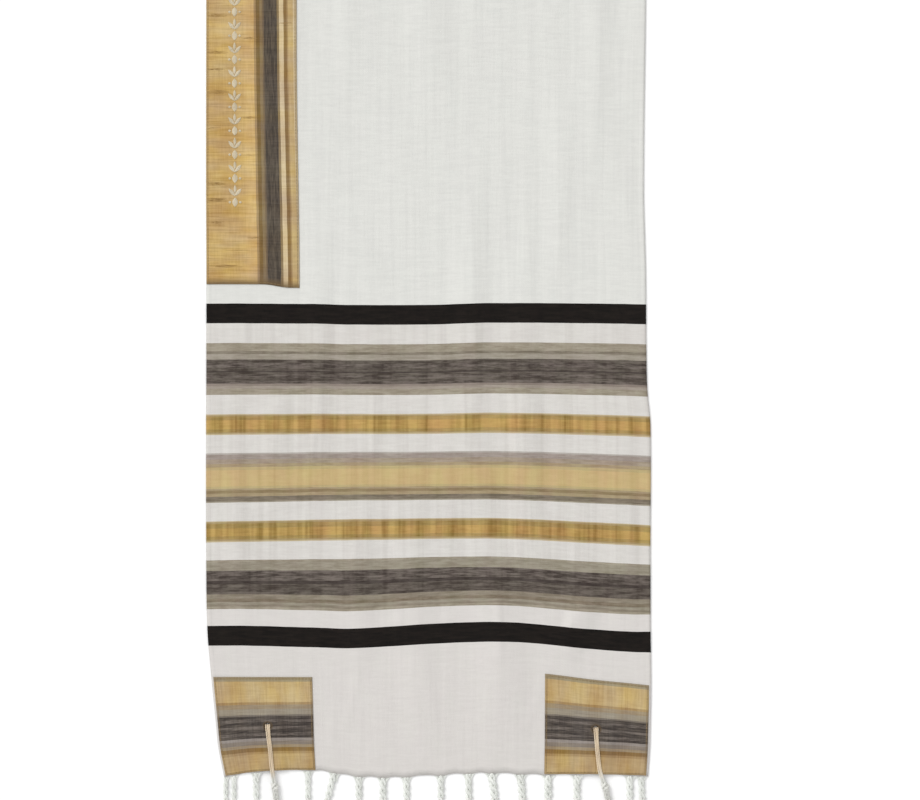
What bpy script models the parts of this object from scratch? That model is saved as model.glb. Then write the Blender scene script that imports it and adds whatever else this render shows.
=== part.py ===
"""A tallit prayer shawl laid out flat, one layer thick.

The woven cloth has a neckband sewn along one long side, a square patch with an eyelet at each corner,
a tassel looped through each eyelet and a fringe along both short ends.

Metres. +X runs across the cloth, away from the neckband side, +Y along it and +Z up. The origin lies on the
floor under the middle of the shawl. A place on the cloth is given by "across", measured from its lengthwise
centreline, and "along", measured from its mid-length, both as on the flat, unstretched weave.
"""

import math
from collections import namedtuple

import bmesh
import bpy
from mathutils import Vector

# The woven cloth.
CLOTH_WIDTH = 0.450
CLOTH_LENGTH = 1.800
CLOTH_WALL = 0.0013
SEAM_GAP = 0.0003
COLUMN_STEP = 0.015
ROW_STEP = 0.060

# The neckband, flush with one long edge of the cloth.
BAND_WIDTH = 0.0945
BAND_LENGTH = 0.803
BAND_WALL = 0.0011

# The square patch on each corner.
PATCH_WIDTH = 0.104
PATCH_LENGTH = 0.098
PATCH_WALL = 0.0010
PATCH_SIDE_INSET = 0.002
PATCH_HEM_INSET = 0.0015

# The eyelets and the strings that run through them, which press a little into each other side by side.
STRING = 0.0014
LOOP_STRINGS = 4
LOOP_STEP = 0.93 * STRING
LOOP_WIDTH = LOOP_STRINGS * LOOP_STEP
LOOP_PARTING = 0.7 * STRING
LOOP_LANDING = 0.4 * STRING
LOOP_EASE = 0.1 * STRING
LOOP_CORNER_IN = 0.25 * STRING
LOOP_CORNER_DOWN = 0.35 * STRING
LOOP_PAST_HEM = 0.3 * STRING
EYELET_RADIUS = 0.0034
EYELET_SIDES = 12
PUNCH_DEPTH = 0.010
EYELET_FROM_HEM = 0.0485
EYELET_LEFT = -0.1680
EYELET_RIGHT = 0.1707
FLOOR_GAP = 0.0001

# The low arch that the cloth makes over the strings under each corner.
ARCH_RISE = FLOOR_GAP + STRING + SEAM_GAP
ARCH_HALF_WIDTH = 0.0105
ARCH_SLOPE = 0.010
ARCH_START = 0.006

# The knotted head of a tassel and its loose strings.
WINDING_TURNS = (7, 8, 11, 13)
TURN_PITCH = 1.05 * STRING
KNOT_LENGTH = 0.007
KNOT_HALF_WIDTH = 0.0048
KNOT_HALF_HEIGHT = 0.0034
WINDING_HALF_WIDTH = 0.0035
WINDING_HALF_HEIGHT = 0.0026
KNOT_SHOULDER = 0.3 * KNOT_LENGTH
TIP_HALF_HEIGHT = 1.1 * STRING
HEAD_FROM_HEM = 0.0083
HEAD_FLOOR_GAP = 0.0003
HEAD_EARLY_TURN = 0.5
OCTAGON_FLAT = 0.8
OCTAGON_SIDE = 0.45
STRAND_COUNT = 8
STRAND_LENGTH = 0.200
STRAND_SHORTENING = 0.05
STRAND_SPREAD = 0.0042
STRAND_SEGMENTS = 8
STRAND_INSET = 0.12 * STRING
STRAND_DROP = 0.31
FAN_POWER = 0.8
SWAY = 0.35 * STRAND_SPREAD
SWAY_RATE = 2.6 * math.pi
SWAY_PHASE = 0.9
TURN_POWER = 1.5

# The fringe: a narrow strip off the end of the cloth, drawn out into strands.
FRINGE_LENGTH = 0.090
FRINGE_SEGMENTS = 7
STRIP_DEPTH = 0.0030
ROOT_DEPTH = 0.0052
FRINGE_FLOOR_GAP = 0.0003
FRINGE_HALF_HEIGHT = 0.0013
FRINGE_WIDTH_TAPER = 0.25
FRINGE_HEIGHT_TAPER = 0.2
ROOT_MARGIN = 0.001

# How far each long edge has crept from a straight line, in mm towards +X, by place along the cloth in mm.
# The creep dies away from its edge inwards, as this power of the share of the width that is left.
EDGE_FADE = 5
Edge = namedtuple("Edge", "along left right")
EDGES = (
    Edge(-900, 17.1, 0.2),
    Edge(-870, 11.0, 2.0),
    Edge(-845, 8.4, 2.6),
    Edge(-800, 3.8, 3.3),
    Edge(-750, -0.3, 2.8),
    Edge(-660, -1.4, 2.6),
    Edge(-540, -1.5, 2.6),
    Edge(-500, -1.3, -0.9),
    Edge(-380, -1.2, -2.2),
    Edge(-300, -1.5, -4.2),
    Edge(-100, -1.3, -2.0),
    Edge(150, -1.0, 0.2),
    Edge(400, -1.4, 1.2),
    Edge(680, -1.1, 1.4),
    Edge(800, 0.4, -0.8),
    Edge(900, 3.2, -7.5),
)

# How far a weft line has crept towards mid-length, in mm, by place across the cloth in mm. The columns are
# the weft lines at the first stripe, the second gold stripe, the last stripe, the patch tops and the hem.
Weft = namedtuple("Weft", "across first_stripe gold_stripe last_stripe patch_top hem")
WEFTS = (
    Weft(-225, 0.0, 0.0, 0.0, -0.5, -4.0),
    Weft(-179, 0.0, 0.0, 0.0, -0.5, 1.2),
    Weft(-112, -0.5, 0.0, -2.0, -0.5, 2.0),
    Weft(-79, -1.4, 0.0, -3.0, -0.5, -3.0),
    Weft(-44, -1.5, 0.5, -1.2, 0.0, -4.5),
    Weft(2, -1.3, 1.4, 2.0, 1.2, -2.8),
    Weft(53, 0.3, 2.0, 4.0, 3.0, 0.0),
    Weft(85, 0.5, 2.0, 3.8, 3.6, -0.8),
    Weft(119, 0.5, 1.0, 1.0, 2.8, -2.0),
    Weft(164, 0.0, -1.2, -3.4, -2.8, -1.8),
    Weft(203, -0.5, -3.2, -6.0, -6.8, -2.6),
    Weft(225, -1.0, -4.0, -6.2, -9.2, -3.4),
)
WEFT_PLACES = (("first_stripe", 0.430), ("gold_stripe", 0.652), ("last_stripe", 0.756),
               ("patch_top", 0.804), ("hem", 0.900))

# The largest folds: soft ridges from a start to an end, in mm on the cloth.
Fold = namedtuple("Fold", "start_across start_along end_across end_along half_width height")
FOLDS = (
    Fold(-110, -300, -118, -590, 22, 2.4),
    Fold(42, -250, 48, -640, 26, 3.2),
    Fold(94, -330, 104, -730, 24, 3.6),
    Fold(138, -180, 134, -440, 20, 2.4),
    Fold(-18, -560, -8, -892, 28, 3.2),
    Fold(66, -640, 78, -896, 34, 3.8),
    Fold(178, -690, 134, -792, 18, 2.8),
    Fold(-98, -316, -40, -398, 15, 2.0),
    Fold(-74, -590, -66, -800, 24, 2.6),
    Fold(192, -520, 196, -770, 22, 2.6),
    Fold(-196, -540, -190, -770, 22, 2.4),
    Fold(-150, -430, -156, -650, 18, 2.0),
    Fold(10, -260, -6, 120, 30, 3.4),
    Fold(-82, -210, -88, 150, 20, 2.0),
    Fold(86, -120, 100, 250, 26, 3.2),
    Fold(176, -280, 170, 60, 22, 2.6),
    Fold(146, 20, 188, 200, 20, 2.4),
    Fold(-30, 90, -42, 420, 26, 3.0),
    Fold(54, 180, 44, 520, 28, 3.4),
    Fold(130, 260, 142, 600, 24, 3.0),
    Fold(-96, 430, -106, 700, 24, 2.6),
    Fold(-4, 450, 8, 790, 30, 3.6),
    Fold(84, 540, 74, 884, 28, 3.4),
    Fold(192, 480, 188, 765, 22, 2.6),
    Fold(-188, 480, -194, 765, 22, 2.4),
    Fold(-60, 640, -52, 890, 24, 3.0),
)

# The strands of the fringe, in mm: place across the hem, sideways reach of the tip, bend and half width.
Strand = namedtuple("Strand", "across reach bend half_width")
FRINGE = (
    Strand(-223.2, 0, 0, 2.4),
    Strand(-212.8, 1, -0.4, 2.4),
    Strand(-186.1, -2, 0.6, 3.2),
    Strand(-127.2, 2, -0.8, 2.8),
    Strand(-98.8, -12, -4.2, 3.2),
    Strand(-71.2, 3, -1, 3.2),
    Strand(-45.4, -2, 0.8, 3.4),
    Strand(-21.8, 4, -0.6, 3.1),
    Strand(13.0, -4, 1.4, 3.2),
    Strand(41.5, 5, -1.2, 3.2),
    Strand(66.4, 6, 1.8, 3.3),
    Strand(96.4, 5, 1, 3.1),
    Strand(124, -4, 1.2, 3.2),
    Strand(154, -3, 1, 2.9),
    Strand(207.6, -2, 0.8, 2.8),
    Strand(219.2, 2, 0.6, 2.6),
)

# The tassels: the end and side they hang from, how far the loop leans on its way from the eyelet to the
# head, and how far the head and then the loose strings turn sideways, in mm towards +X.
Tassel = namedtuple("Tassel", "name end across lean head_turn strand_turn")
TASSELS = (
    Tassel("near_left", -1, EYELET_LEFT, 8.0, 8.0, 4.0),
    Tassel("near_right", -1, EYELET_RIGHT, 8.0, 15.0, 8.0),
    Tassel("far_left", 1, EYELET_LEFT, 6.0, 5.0, -9.0),
    Tassel("far_right", 1, EYELET_RIGHT, 2.0, 9.0, -7.0),
)

# Colour and roughness of each material.
WHITE_WOOL = ((0.70, 0.69, 0.66), 0.85)
GOLD_SILK = ((0.53, 0.36, 0.13), 0.55)
WHITE_STRING = ((0.66, 0.64, 0.58), 0.80)
HALF_WIDTH = CLOTH_WIDTH / 2
HALF_LENGTH = CLOTH_LENGTH / 2
MM = 0.001
SLACK = 1e-6


def curve_through(places, values, place):
    """The value at a place on a smooth curve through the values at rising places, flat past its ends."""
    if place <= places[0]:
        return values[0]
    if place >= places[-1]:
        return values[-1]
    low = max(i for i in range(len(places) - 1) if places[i] <= place)

    def slope(i):
        before, after = max(i - 1, 0), min(i + 1, len(places) - 1)
        return (values[after] - values[before]) / (places[after] - places[before])

    span = places[low + 1] - places[low]
    t = (place - places[low]) / span
    return (
        values[low] * (1 + 2 * t) * (1 - t) ** 2
        + values[low + 1] * t * t * (3 - 2 * t)
        + span * slope(low) * t * (1 - t) ** 2
        - span * slope(low + 1) * t * t * (1 - t)
    )


def read_table(rows, key, column, place):
    """A column of a table in mm, read at a place in metres on a smooth curve through its rows."""
    places = [getattr(row, key) * MM for row in rows]
    values = [getattr(row, column) * MM for row in rows]
    return curve_through(places, values, place)


def fold_height(across, along):
    """The height of the soft ridges at a place on the cloth."""
    height = 0.0
    for fold in FOLDS:
        start = Vector((fold.start_across, fold.start_along)) * MM
        run = Vector((fold.end_across, fold.end_along)) * MM - start
        reach = Vector((across, along)) - start
        share = reach.dot(run) / run.length_squared
        aside = (reach - run * share).length / (fold.half_width * MM)
        if 0 < share < 1 and aside < 1:
            height += fold.height * MM * math.sin(math.pi * share) * math.cos(math.pi / 2 * aside) ** 2
    return height


def arch_height(across, along):
    """The lift of the cloth over the strings that run under a corner, from the eyelet to the hem."""
    aside = min(abs(across - EYELET_LEFT), abs(across - EYELET_RIGHT)) - ARCH_HALF_WIDTH
    short = HALF_LENGTH - EYELET_FROM_HEM - ARCH_START - abs(along)
    outside = max(aside, short, 0.0) / ARCH_SLOPE
    return ARCH_RISE * max(0.0, 1.0 - outside)


def weft_creep(across, along):
    """How far the weft line through a place has crept towards mid-length. The far end creeps in mirror."""
    side = across if along < 0 else -across
    places = [0.0] + [place for _, place in WEFT_PLACES]
    values = [0.0] + [read_table(WEFTS, "across", column, side) for column, _ in WEFT_PLACES]
    return curve_through(places, values, abs(along))


def cloth_point(across, along, above=0.0):
    """A point at a height above the underside of the cloth."""
    left = read_table(EDGES, "along", "left", along)
    right = read_table(EDGES, "along", "right", along)
    share = (across + HALF_WIDTH) / CLOTH_WIDTH
    x = across + left * (1 - share) ** EDGE_FADE + right * share ** EDGE_FADE
    y = along - math.copysign(1.0, along) * weft_creep(across, along)
    return Vector((x, y, fold_height(across, along) + arch_height(across, along) + above))


def stations(low, high, marks, step):
    """Places from low to high that meet every mark between them and lie no further apart than a step."""
    fixed = sorted({low, high, *(mark for mark in marks if low < mark < high)})
    places = [low]
    for start, end in zip(fixed, fixed[1:]):
        count = math.ceil((end - start) / step)
        places += [start + (end - start) * (i + 1) / count for i in range(count)]
    return places


def cloth_columns():
    """Places across the cloth: its edges, those of what is sewn on it, and the feet and top of each arch."""
    patch_inner = HALF_WIDTH - PATCH_SIDE_INSET - PATCH_WIDTH
    marks = [BAND_WIDTH - HALF_WIDTH]
    for side in (-1, 1):
        marks += [side * patch_inner, side * (HALF_WIDTH - PATCH_SIDE_INSET)]
    for eyelet in (EYELET_LEFT, EYELET_RIGHT):
        for reach in (ARCH_HALF_WIDTH, ARCH_HALF_WIDTH + ARCH_SLOPE):
            marks += [eyelet - reach, eyelet + reach]
    return stations(-HALF_WIDTH, HALF_WIDTH, marks, COLUMN_STEP)


def cloth_rows():
    """Places along the cloth, in the same way."""
    arch_top = HALF_LENGTH - EYELET_FROM_HEM - ARCH_START
    patch_outer = HALF_LENGTH - PATCH_HEM_INSET
    marks = []
    for end in (-1, 1):
        marks += [end * BAND_LENGTH / 2, end * (patch_outer - PATCH_LENGTH), end * patch_outer]
        marks += [end * (arch_top - ARCH_SLOPE), end * arch_top]
    return stations(-HALF_LENGTH, HALF_LENGTH, marks, ROW_STEP)


def between(places, low, high):
    """The places from low to high, both of which are among them."""
    return [place for place in places if low - SLACK < place < high + SLACK]


def make_material(name, finish):
    colour, roughness = finish
    material = bpy.data.materials.new(name)
    material.use_nodes = True
    shader = material.node_tree.nodes["Principled BSDF"]
    shader.inputs["Base Color"].default_value = (*colour, 1.0)
    shader.inputs["Roughness"].default_value = roughness
    shader.inputs["Metallic"].default_value = 0.0
    return material


def make_object(name, mesh, finish):
    """Turns a finished bmesh into a named object with a material of its own."""
    bmesh.ops.recalc_face_normals(mesh, faces=mesh.faces)
    data = bpy.data.meshes.new(name)
    mesh.to_mesh(data)
    mesh.free()
    data.materials.append(make_material(name, finish))
    body = bpy.data.objects.new(name, data)
    bpy.context.scene.collection.objects.link(body)
    return body


def closed_sheet(columns, rows, low, wall):
    """A wall of cloth over a grid of places, its two faces cut along the same diagonals."""
    mesh = bmesh.new()
    faces = [
        [[mesh.verts.new(cloth_point(across, along, height)) for across in columns] for along in rows]
        for height in (low, low + wall)
    ]
    for sheet in faces:
        for near, far in zip(sheet, sheet[1:]):
            for i in range(len(columns) - 1):
                mesh.faces.new((near[i], near[i + 1], far[i + 1]))
                mesh.faces.new((near[i], far[i + 1], far[i]))
    rim_under, rim_over = (
        sheet[0] + [row[-1] for row in sheet[1:]] + sheet[-1][-2::-1] + [row[0] for row in sheet[-2:0:-1]]
        for sheet in faces
    )
    for i in range(len(rim_under)):
        j = (i + 1) % len(rim_under)
        mesh.faces.new((rim_under[i], rim_under[j], rim_over[j], rim_over[i]))
    return mesh


def make_eyelet_cutters():
    """A round punch at each corner, by the name of its tassel."""
    cutters = {}
    for tassel in TASSELS:
        mesh = bmesh.new()
        bmesh.ops.create_cone(mesh, cap_ends=True, segments=EYELET_SIDES, radius1=EYELET_RADIUS,
                              radius2=EYELET_RADIUS, depth=PUNCH_DEPTH)
        cutter = bpy.data.objects.new("eyelet_cutter_" + tassel.name, bpy.data.meshes.new("eyelet_cutter"))
        mesh.to_mesh(cutter.data)
        mesh.free()
        cutter.location = cloth_point(tassel.across, tassel.end * (HALF_LENGTH - EYELET_FROM_HEM), CLOTH_WALL)
        cutter.hide_render = True
        cutter.display_type = "WIRE"
        bpy.context.scene.collection.objects.link(cutter)
        cutters[tassel.name] = cutter
    return cutters


def punch(body, cutter):
    cut = body.modifiers.new(cutter.name, "BOOLEAN")
    cut.operation = "DIFFERENCE"
    cut.object = cutter


def make_cloth(cutters):
    mesh = closed_sheet(cloth_columns(), cloth_rows(), 0.0, CLOTH_WALL)
    cloth = make_object("main_cloth", mesh, WHITE_WOOL)
    for cutter in cutters.values():
        punch(cloth, cutter)


def make_neckband():
    columns = between(cloth_columns(), -HALF_WIDTH, BAND_WIDTH - HALF_WIDTH)
    rows = between(cloth_rows(), -BAND_LENGTH / 2, BAND_LENGTH / 2)
    make_object("neckband", closed_sheet(columns, rows, CLOTH_WALL + SEAM_GAP, BAND_WALL), GOLD_SILK)


def make_patch(tassel, cutter):
    outer = HALF_WIDTH - PATCH_SIDE_INSET
    side = sorted((math.copysign(outer, tassel.across), math.copysign(outer - PATCH_WIDTH, tassel.across)))
    hem = HALF_LENGTH - PATCH_HEM_INSET
    reach = sorted((tassel.end * hem, tassel.end * (hem - PATCH_LENGTH)))
    mesh = closed_sheet(between(cloth_columns(), *side), between(cloth_rows(), *reach),
                        CLOTH_WALL + SEAM_GAP, PATCH_WALL)
    punch(make_object("corner_patch_" + tassel.name, mesh, GOLD_SILK), cutter)


def grow_strand(mesh, root, stops):
    """Draws a four-sided face of a backing out into a strand, through centres with their half sizes."""
    middle = root.calc_center_median()
    corners = [(math.copysign(1, v.co.x - middle.x), math.copysign(1, v.co.z - middle.z)) for v in root.verts]
    for centre, half_width, half_height in stops:
        root = bmesh.ops.extrude_discrete_faces(mesh, faces=[root])["faces"][0]
        for vert, (side, up) in zip(root.verts, corners):
            vert.co = centre + Vector((side * half_width, 0.0, up * half_height))


def fringe_stops(strand, end, start):
    """The bending path of one strand of the fringe, with its sizes. The far fringe bends the other way."""
    stops = []
    lift = FRINGE_FLOOR_GAP + FRINGE_HALF_HEIGHT
    for i in range(1, FRINGE_SEGMENTS + 1):
        share = i / FRINGE_SEGMENTS
        x = start.x - end * (strand.reach * share + strand.bend * math.sin(math.pi * share)) * MM
        y = start.y + end * FRINGE_LENGTH * share
        half_width = strand.half_width * MM * (1.0 - FRINGE_WIDTH_TAPER * share)
        half_height = FRINGE_HALF_HEIGHT * (1.0 - FRINGE_HEIGHT_TAPER * share)
        stops.append((Vector((x, y, lift)), half_width, half_height))
    return stops


def hem_point(across, hem):
    """A point on the lower edge of the cloth's end, which runs straight between the columns of the cloth."""
    columns = cloth_columns()
    high = next(i for i, column in enumerate(columns) if column >= across)
    share = (across - columns[high - 1]) / (columns[high] - columns[high - 1])
    return cloth_point(columns[high - 1], hem).lerp(cloth_point(columns[high], hem), share)


def make_fringe(name, end):
    """A strip off the end of the cloth, deeper where each strand grows out of it."""
    hem = end * HALF_LENGTH
    roots = [(strand.across * MM, strand.half_width * MM) for strand in FRINGE]
    columns = [place for place in cloth_columns()
               if all(abs(place - across) > half_width + ROOT_MARGIN for across, half_width in roots)]
    columns += [across + side * half_width for across, half_width in roots for side in (-1, 1)]
    columns.sort()
    mesh = bmesh.new()
    sections = []
    for across in columns:
        at_root = any(abs(across - centre) < half_width + SLACK for centre, half_width in roots)
        inner = hem_point(across, hem) + Vector((0.0, end * SEAM_GAP, 0.0))
        outer = inner + Vector((0.0, end * (ROOT_DEPTH if at_root else STRIP_DEPTH), 0.0))
        rise = Vector((0.0, 0.0, CLOTH_WALL))
        sections.append([mesh.verts.new(p) for p in (inner, outer, outer + rise, inner + rise)])
    outer_faces = {}
    for column, left, right in zip(columns, sections, sections[1:]):
        for k in range(4):
            face = mesh.faces.new((left[k], right[k], right[(k + 1) % 4], left[(k + 1) % 4]))
            if k == 1:
                outer_faces[column] = face
    mesh.faces.new(sections[0])
    mesh.faces.new(reversed(sections[-1]))
    bmesh.ops.recalc_face_normals(mesh, faces=mesh.faces)
    for strand, (across, half_width) in zip(FRINGE, roots):
        root = outer_faces[min(outer_faces, key=lambda column: abs(column - (across - half_width)))]
        grow_strand(mesh, root, fringe_stops(strand, end, root.calc_center_median()))
    make_object(name, mesh, WHITE_STRING)


def swept_band(path, side, half_width, half_thickness):
    """A flat band along a path in an upright plane, its width running sideways."""
    mesh = bmesh.new()
    rings = []
    for i, point in enumerate(path):
        before, after = path[max(i - 1, 0)], path[min(i + 1, len(path) - 1)]
        normal = (after - before).cross(side).normalized()
        out, across = normal * half_thickness, side * half_width
        rings.append([mesh.verts.new(p) for p in (
            point - across - out, point + across - out, point + across + out, point - across + out)])
    for near, far in zip(rings, rings[1:]):
        for k in range(4):
            mesh.faces.new((near[k], near[(k + 1) % 4], far[(k + 1) % 4], far[k]))
    mesh.faces.new(reversed(rings[0]))
    mesh.faces.new(rings[-1])
    return mesh


def tassel_frame(tassel):
    """The eyelet, the start of the head and the floor direction from one to the other."""
    eyelet = cloth_point(tassel.across, tassel.end * (HALF_LENGTH - EYELET_FROM_HEM))
    eyelet.z = 0.0
    head = Vector((eyelet.x + tassel.lean * MM, tassel.end * (HALF_LENGTH + HEAD_FROM_HEM), 0.0))
    return eyelet, head, (head - eyelet).normalized()


def head_height():
    return HEAD_FLOOR_GAP + KNOT_HALF_HEIGHT


def make_loop(tassel):
    """The strings over a corner, down its eyelet and back under it, side by side, up to the head."""
    eyelet, head, run = tassel_frame(tassel)
    side = Vector((run.y, -run.x, 0.0))
    length = (head - eyelet).length - SEAM_GAP - LOOP_WIDTH / 2 * abs(run.x)
    half = STRING / 2
    low = FLOOR_GAP + half
    high = ARCH_RISE + CLOTH_WALL + SEAM_GAP + PATCH_WALL + SEAM_GAP + half
    hems = [hem_point(tassel.across + reach * MM, tassel.end * HALF_LENGTH) for reach in (0.0, tassel.lean)]
    hem = max(abs(point.y - eyelet.y) for point in hems) + LOOP_WIDTH / 2 * abs(run.x)
    hem = hem / abs(run.y) + SEAM_GAP + STRIP_DEPTH
    meet = length - LOOP_LANDING
    upper = [(length, head_height() + LOOP_PARTING), (meet, head_height() + LOOP_PARTING),
             (hem, high - LOOP_EASE), (hem - STRING, high), (hem / 2, high), (STRING, high)]
    turn = [(LOOP_CORNER_IN, high - LOOP_CORNER_DOWN), (0.0, high - STRING), (0.0, low + STRING),
            (LOOP_CORNER_IN, low + LOOP_CORNER_DOWN)]
    lower = [(STRING, low), (hem / 2, low), (hem + LOOP_PAST_HEM, low), (meet, head_height() - LOOP_PARTING),
             (length, head_height() - LOOP_PARTING)]
    path = [eyelet + run * reach + Vector((0.0, 0.0, height)) for reach, height in upper + turn + lower]
    mesh = swept_band(path, side, LOOP_WIDTH / 2, half)
    make_object("tassel_loop_" + tassel.name, mesh, WHITE_STRING)


def head_rings():
    """Distances along the head with the half width and height there: five knots and the windings between."""
    rings = []
    place = 0.0
    for turns in WINDING_TURNS + (0,):
        last = turns == 0
        rings += [
            (place, WINDING_HALF_WIDTH, WINDING_HALF_HEIGHT),
            (place + KNOT_SHOULDER, KNOT_HALF_WIDTH, KNOT_HALF_HEIGHT),
            (place + KNOT_LENGTH - KNOT_SHOULDER, KNOT_HALF_WIDTH, KNOT_HALF_HEIGHT),
            (place + KNOT_LENGTH, STRAND_COUNT * STRING / 2 if last else WINDING_HALF_WIDTH,
             TIP_HALF_HEIGHT if last else WINDING_HALF_HEIGHT),
        ]
        place += KNOT_LENGTH + turns * TURN_PITCH
    return rings


def octagon(centre, half_width, half_height):
    """Eight points round a flattened head: left edge, top, right edge and bottom, each a pair."""
    flat, side = OCTAGON_FLAT, OCTAGON_SIDE
    shape = ((-1, -side), (-1, side), (-flat, 1), (flat, 1), (1, side), (1, -side), (flat, -1), (-flat, -1))
    return [centre + Vector((u * half_width, 0.0, v * half_height)) for u, v in shape]


def make_tassel(tassel):
    """The knotted head, with its last face parted into cells that are drawn out into the loose strings."""
    _, head, _ = tassel_frame(tassel)
    rings = head_rings()
    length = rings[-1][0]
    mesh = bmesh.new()
    loops = []
    for place, half_width, half_height in rings:
        share = place / length
        x = head.x + tassel.head_turn * MM * share * (1.0 + HEAD_EARLY_TURN * (1.0 - share))
        centre = Vector((x, head.y + tassel.end * place, head_height()))
        loops.append([mesh.verts.new(point) for point in octagon(centre, half_width, half_height)])
    for near, far in zip(loops, loops[1:]):
        for k in range(8):
            mesh.faces.new((near[k], near[(k + 1) % 8], far[(k + 1) % 8], far[k]))
    mesh.faces.new(loops[0])
    tip = loops[-1]
    mesh.faces.new((tip[0], tip[1], tip[2], tip[7]))
    mesh.faces.new((tip[3], tip[4], tip[5], tip[6]))
    mesh.faces.new((tip[2], tip[3], tip[6], tip[7]))
    end_y, left, right = tip[2].co.y, tip[2].co.x, tip[3].co.x
    split = [mesh.edges.get((tip[2], tip[3])), mesh.edges.get((tip[6], tip[7]))]
    bmesh.ops.subdivide_edges(mesh, edges=split, cuts=STRAND_COUNT - 1, use_grid_fill=True)
    bmesh.ops.recalc_face_normals(mesh, faces=mesh.faces)
    cells = [face for face in mesh.faces if all(abs(vert.co.y - end_y) < SLACK for vert in face.verts)
             and left < face.calc_center_median().x < right]
    cells.sort(key=lambda face: face.calc_center_median().x)
    bmesh.ops.inset_individual(mesh, faces=cells, thickness=STRAND_INSET)
    middle = head.x + tassel.head_turn * MM
    for i, cell in enumerate(cells):
        grow_strand(mesh, cell, tassel_stops(tassel, i, cell.calc_center_median(), middle))
    make_object("tassel_" + tassel.name, mesh, WHITE_STRING)


def tassel_stops(tassel, number, start, middle):
    """The path of one loose string: out of the last knot, down to the floor and apart from its neighbours."""
    slot = number - (STRAND_COUNT - 1) / 2
    length = STRAND_LENGTH * (1.0 - STRAND_SHORTENING * ((number * 3) % 5) / 4)
    rest = HEAD_FLOOR_GAP + STRING / 2
    stops = []
    for i in range(1, STRAND_SEGMENTS + 1):
        share = i / STRAND_SEGMENTS
        fan = start.x - middle + (slot * STRAND_SPREAD - (start.x - middle)) * share ** FAN_POWER
        sway = SWAY * math.sin(SWAY_RATE * share + SWAY_PHASE * tassel.end) * share
        x = middle + fan + sway + tassel.strand_turn * MM * share ** TURN_POWER
        z = rest + (start.z - rest) * max(0.0, 1.0 - share / STRAND_DROP)
        stops.append((Vector((x, start.y + tassel.end * length * share, z)), STRING / 2, STRING / 2))
    return stops


def clear_scene():
    for old in list(bpy.data.objects):
        bpy.data.objects.remove(old, do_unlink=True)


def main():
    clear_scene()
    cutters = make_eyelet_cutters()
    make_cloth(cutters)
    make_neckband()
    for tassel in TASSELS:
        make_patch(tassel, cutters[tassel.name])
        make_loop(tassel)
        make_tassel(tassel)
    make_fringe("fringe_near", -1)
    make_fringe("fringe_far", 1)


main()
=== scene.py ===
# %% [markdown]
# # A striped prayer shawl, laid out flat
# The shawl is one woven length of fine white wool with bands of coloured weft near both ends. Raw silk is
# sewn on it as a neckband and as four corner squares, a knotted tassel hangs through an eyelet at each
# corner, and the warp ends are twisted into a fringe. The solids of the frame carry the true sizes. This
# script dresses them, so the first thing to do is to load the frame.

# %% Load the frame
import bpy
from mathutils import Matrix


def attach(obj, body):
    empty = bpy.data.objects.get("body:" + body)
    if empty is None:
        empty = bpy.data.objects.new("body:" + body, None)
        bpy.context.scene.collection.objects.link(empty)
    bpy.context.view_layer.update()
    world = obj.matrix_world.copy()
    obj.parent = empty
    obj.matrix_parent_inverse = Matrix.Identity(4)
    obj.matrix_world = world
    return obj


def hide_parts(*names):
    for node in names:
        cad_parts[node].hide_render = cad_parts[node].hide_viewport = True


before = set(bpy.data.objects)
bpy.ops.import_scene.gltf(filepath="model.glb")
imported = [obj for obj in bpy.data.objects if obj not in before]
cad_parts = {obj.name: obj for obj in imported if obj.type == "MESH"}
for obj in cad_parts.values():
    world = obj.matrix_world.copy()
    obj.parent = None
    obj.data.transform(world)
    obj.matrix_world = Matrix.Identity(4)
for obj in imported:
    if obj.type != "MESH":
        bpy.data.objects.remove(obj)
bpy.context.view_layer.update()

# %% [markdown]
# Blender's own modules do the modelling, and numpy works on thousands of points of cloth at once. All sizes
# are in metres, and the tables that are easier to read in millimetres are multiplied by MM where they are
# used.

# %% Modules and units
import math
from collections import namedtuple

import bmesh
import bpy
import numpy as np
from mathutils import Matrix, Vector

MM = 0.001

# %% [markdown]
# ## The shape of the laid cloth
# Every piece of this shawl lies on the same cloth, so one function should say where the cloth is. A place
# on the flat weave has two numbers: "across", from the lengthwise centreline, and "along", from mid-length.
# Modelling each piece flat in these two numbers, and laying it afterwards through one function, keeps the
# pieces on each other however the cloth is folded. The sizes are the ones that the solids were made from.
# So are the tables of the edges, the weft lines, the broad folds, the fringe and the tassels, but for one
# weft line, some strands and one tassel, which were adjusted by a millimetre or two since.

# %% Sizes of the pieces
HALF_WIDTH = 0.225
HALF_LENGTH = 0.900
CLOTH_WALL = 0.0013
BAND_WIDTH = 0.0945
BAND_LENGTH = 0.803
PATCH_WIDTH = 0.104
PATCH_LENGTH = 0.098
PATCH_SIDE_INSET = 0.002
PATCH_HEM_INSET = 0.0015
EYELET_RADIUS = 0.0034
EYELET_FROM_HEM = 0.0485
EYELET_LEFT = -0.1680
EYELET_RIGHT = 0.1707
STRING = 0.0014
FLOOR_GAP = 0.0001
SEAM_GAP = 0.0003
ARCH_RISE = FLOOR_GAP + STRING + SEAM_GAP
ARCH_HALF_WIDTH = 0.0105
ARCH_SLOPE = 0.010
ARCH_START = 0.006
print(f"cloth {2 * HALF_WIDTH:.3f} by {2 * HALF_LENGTH:.3f} m")

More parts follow.
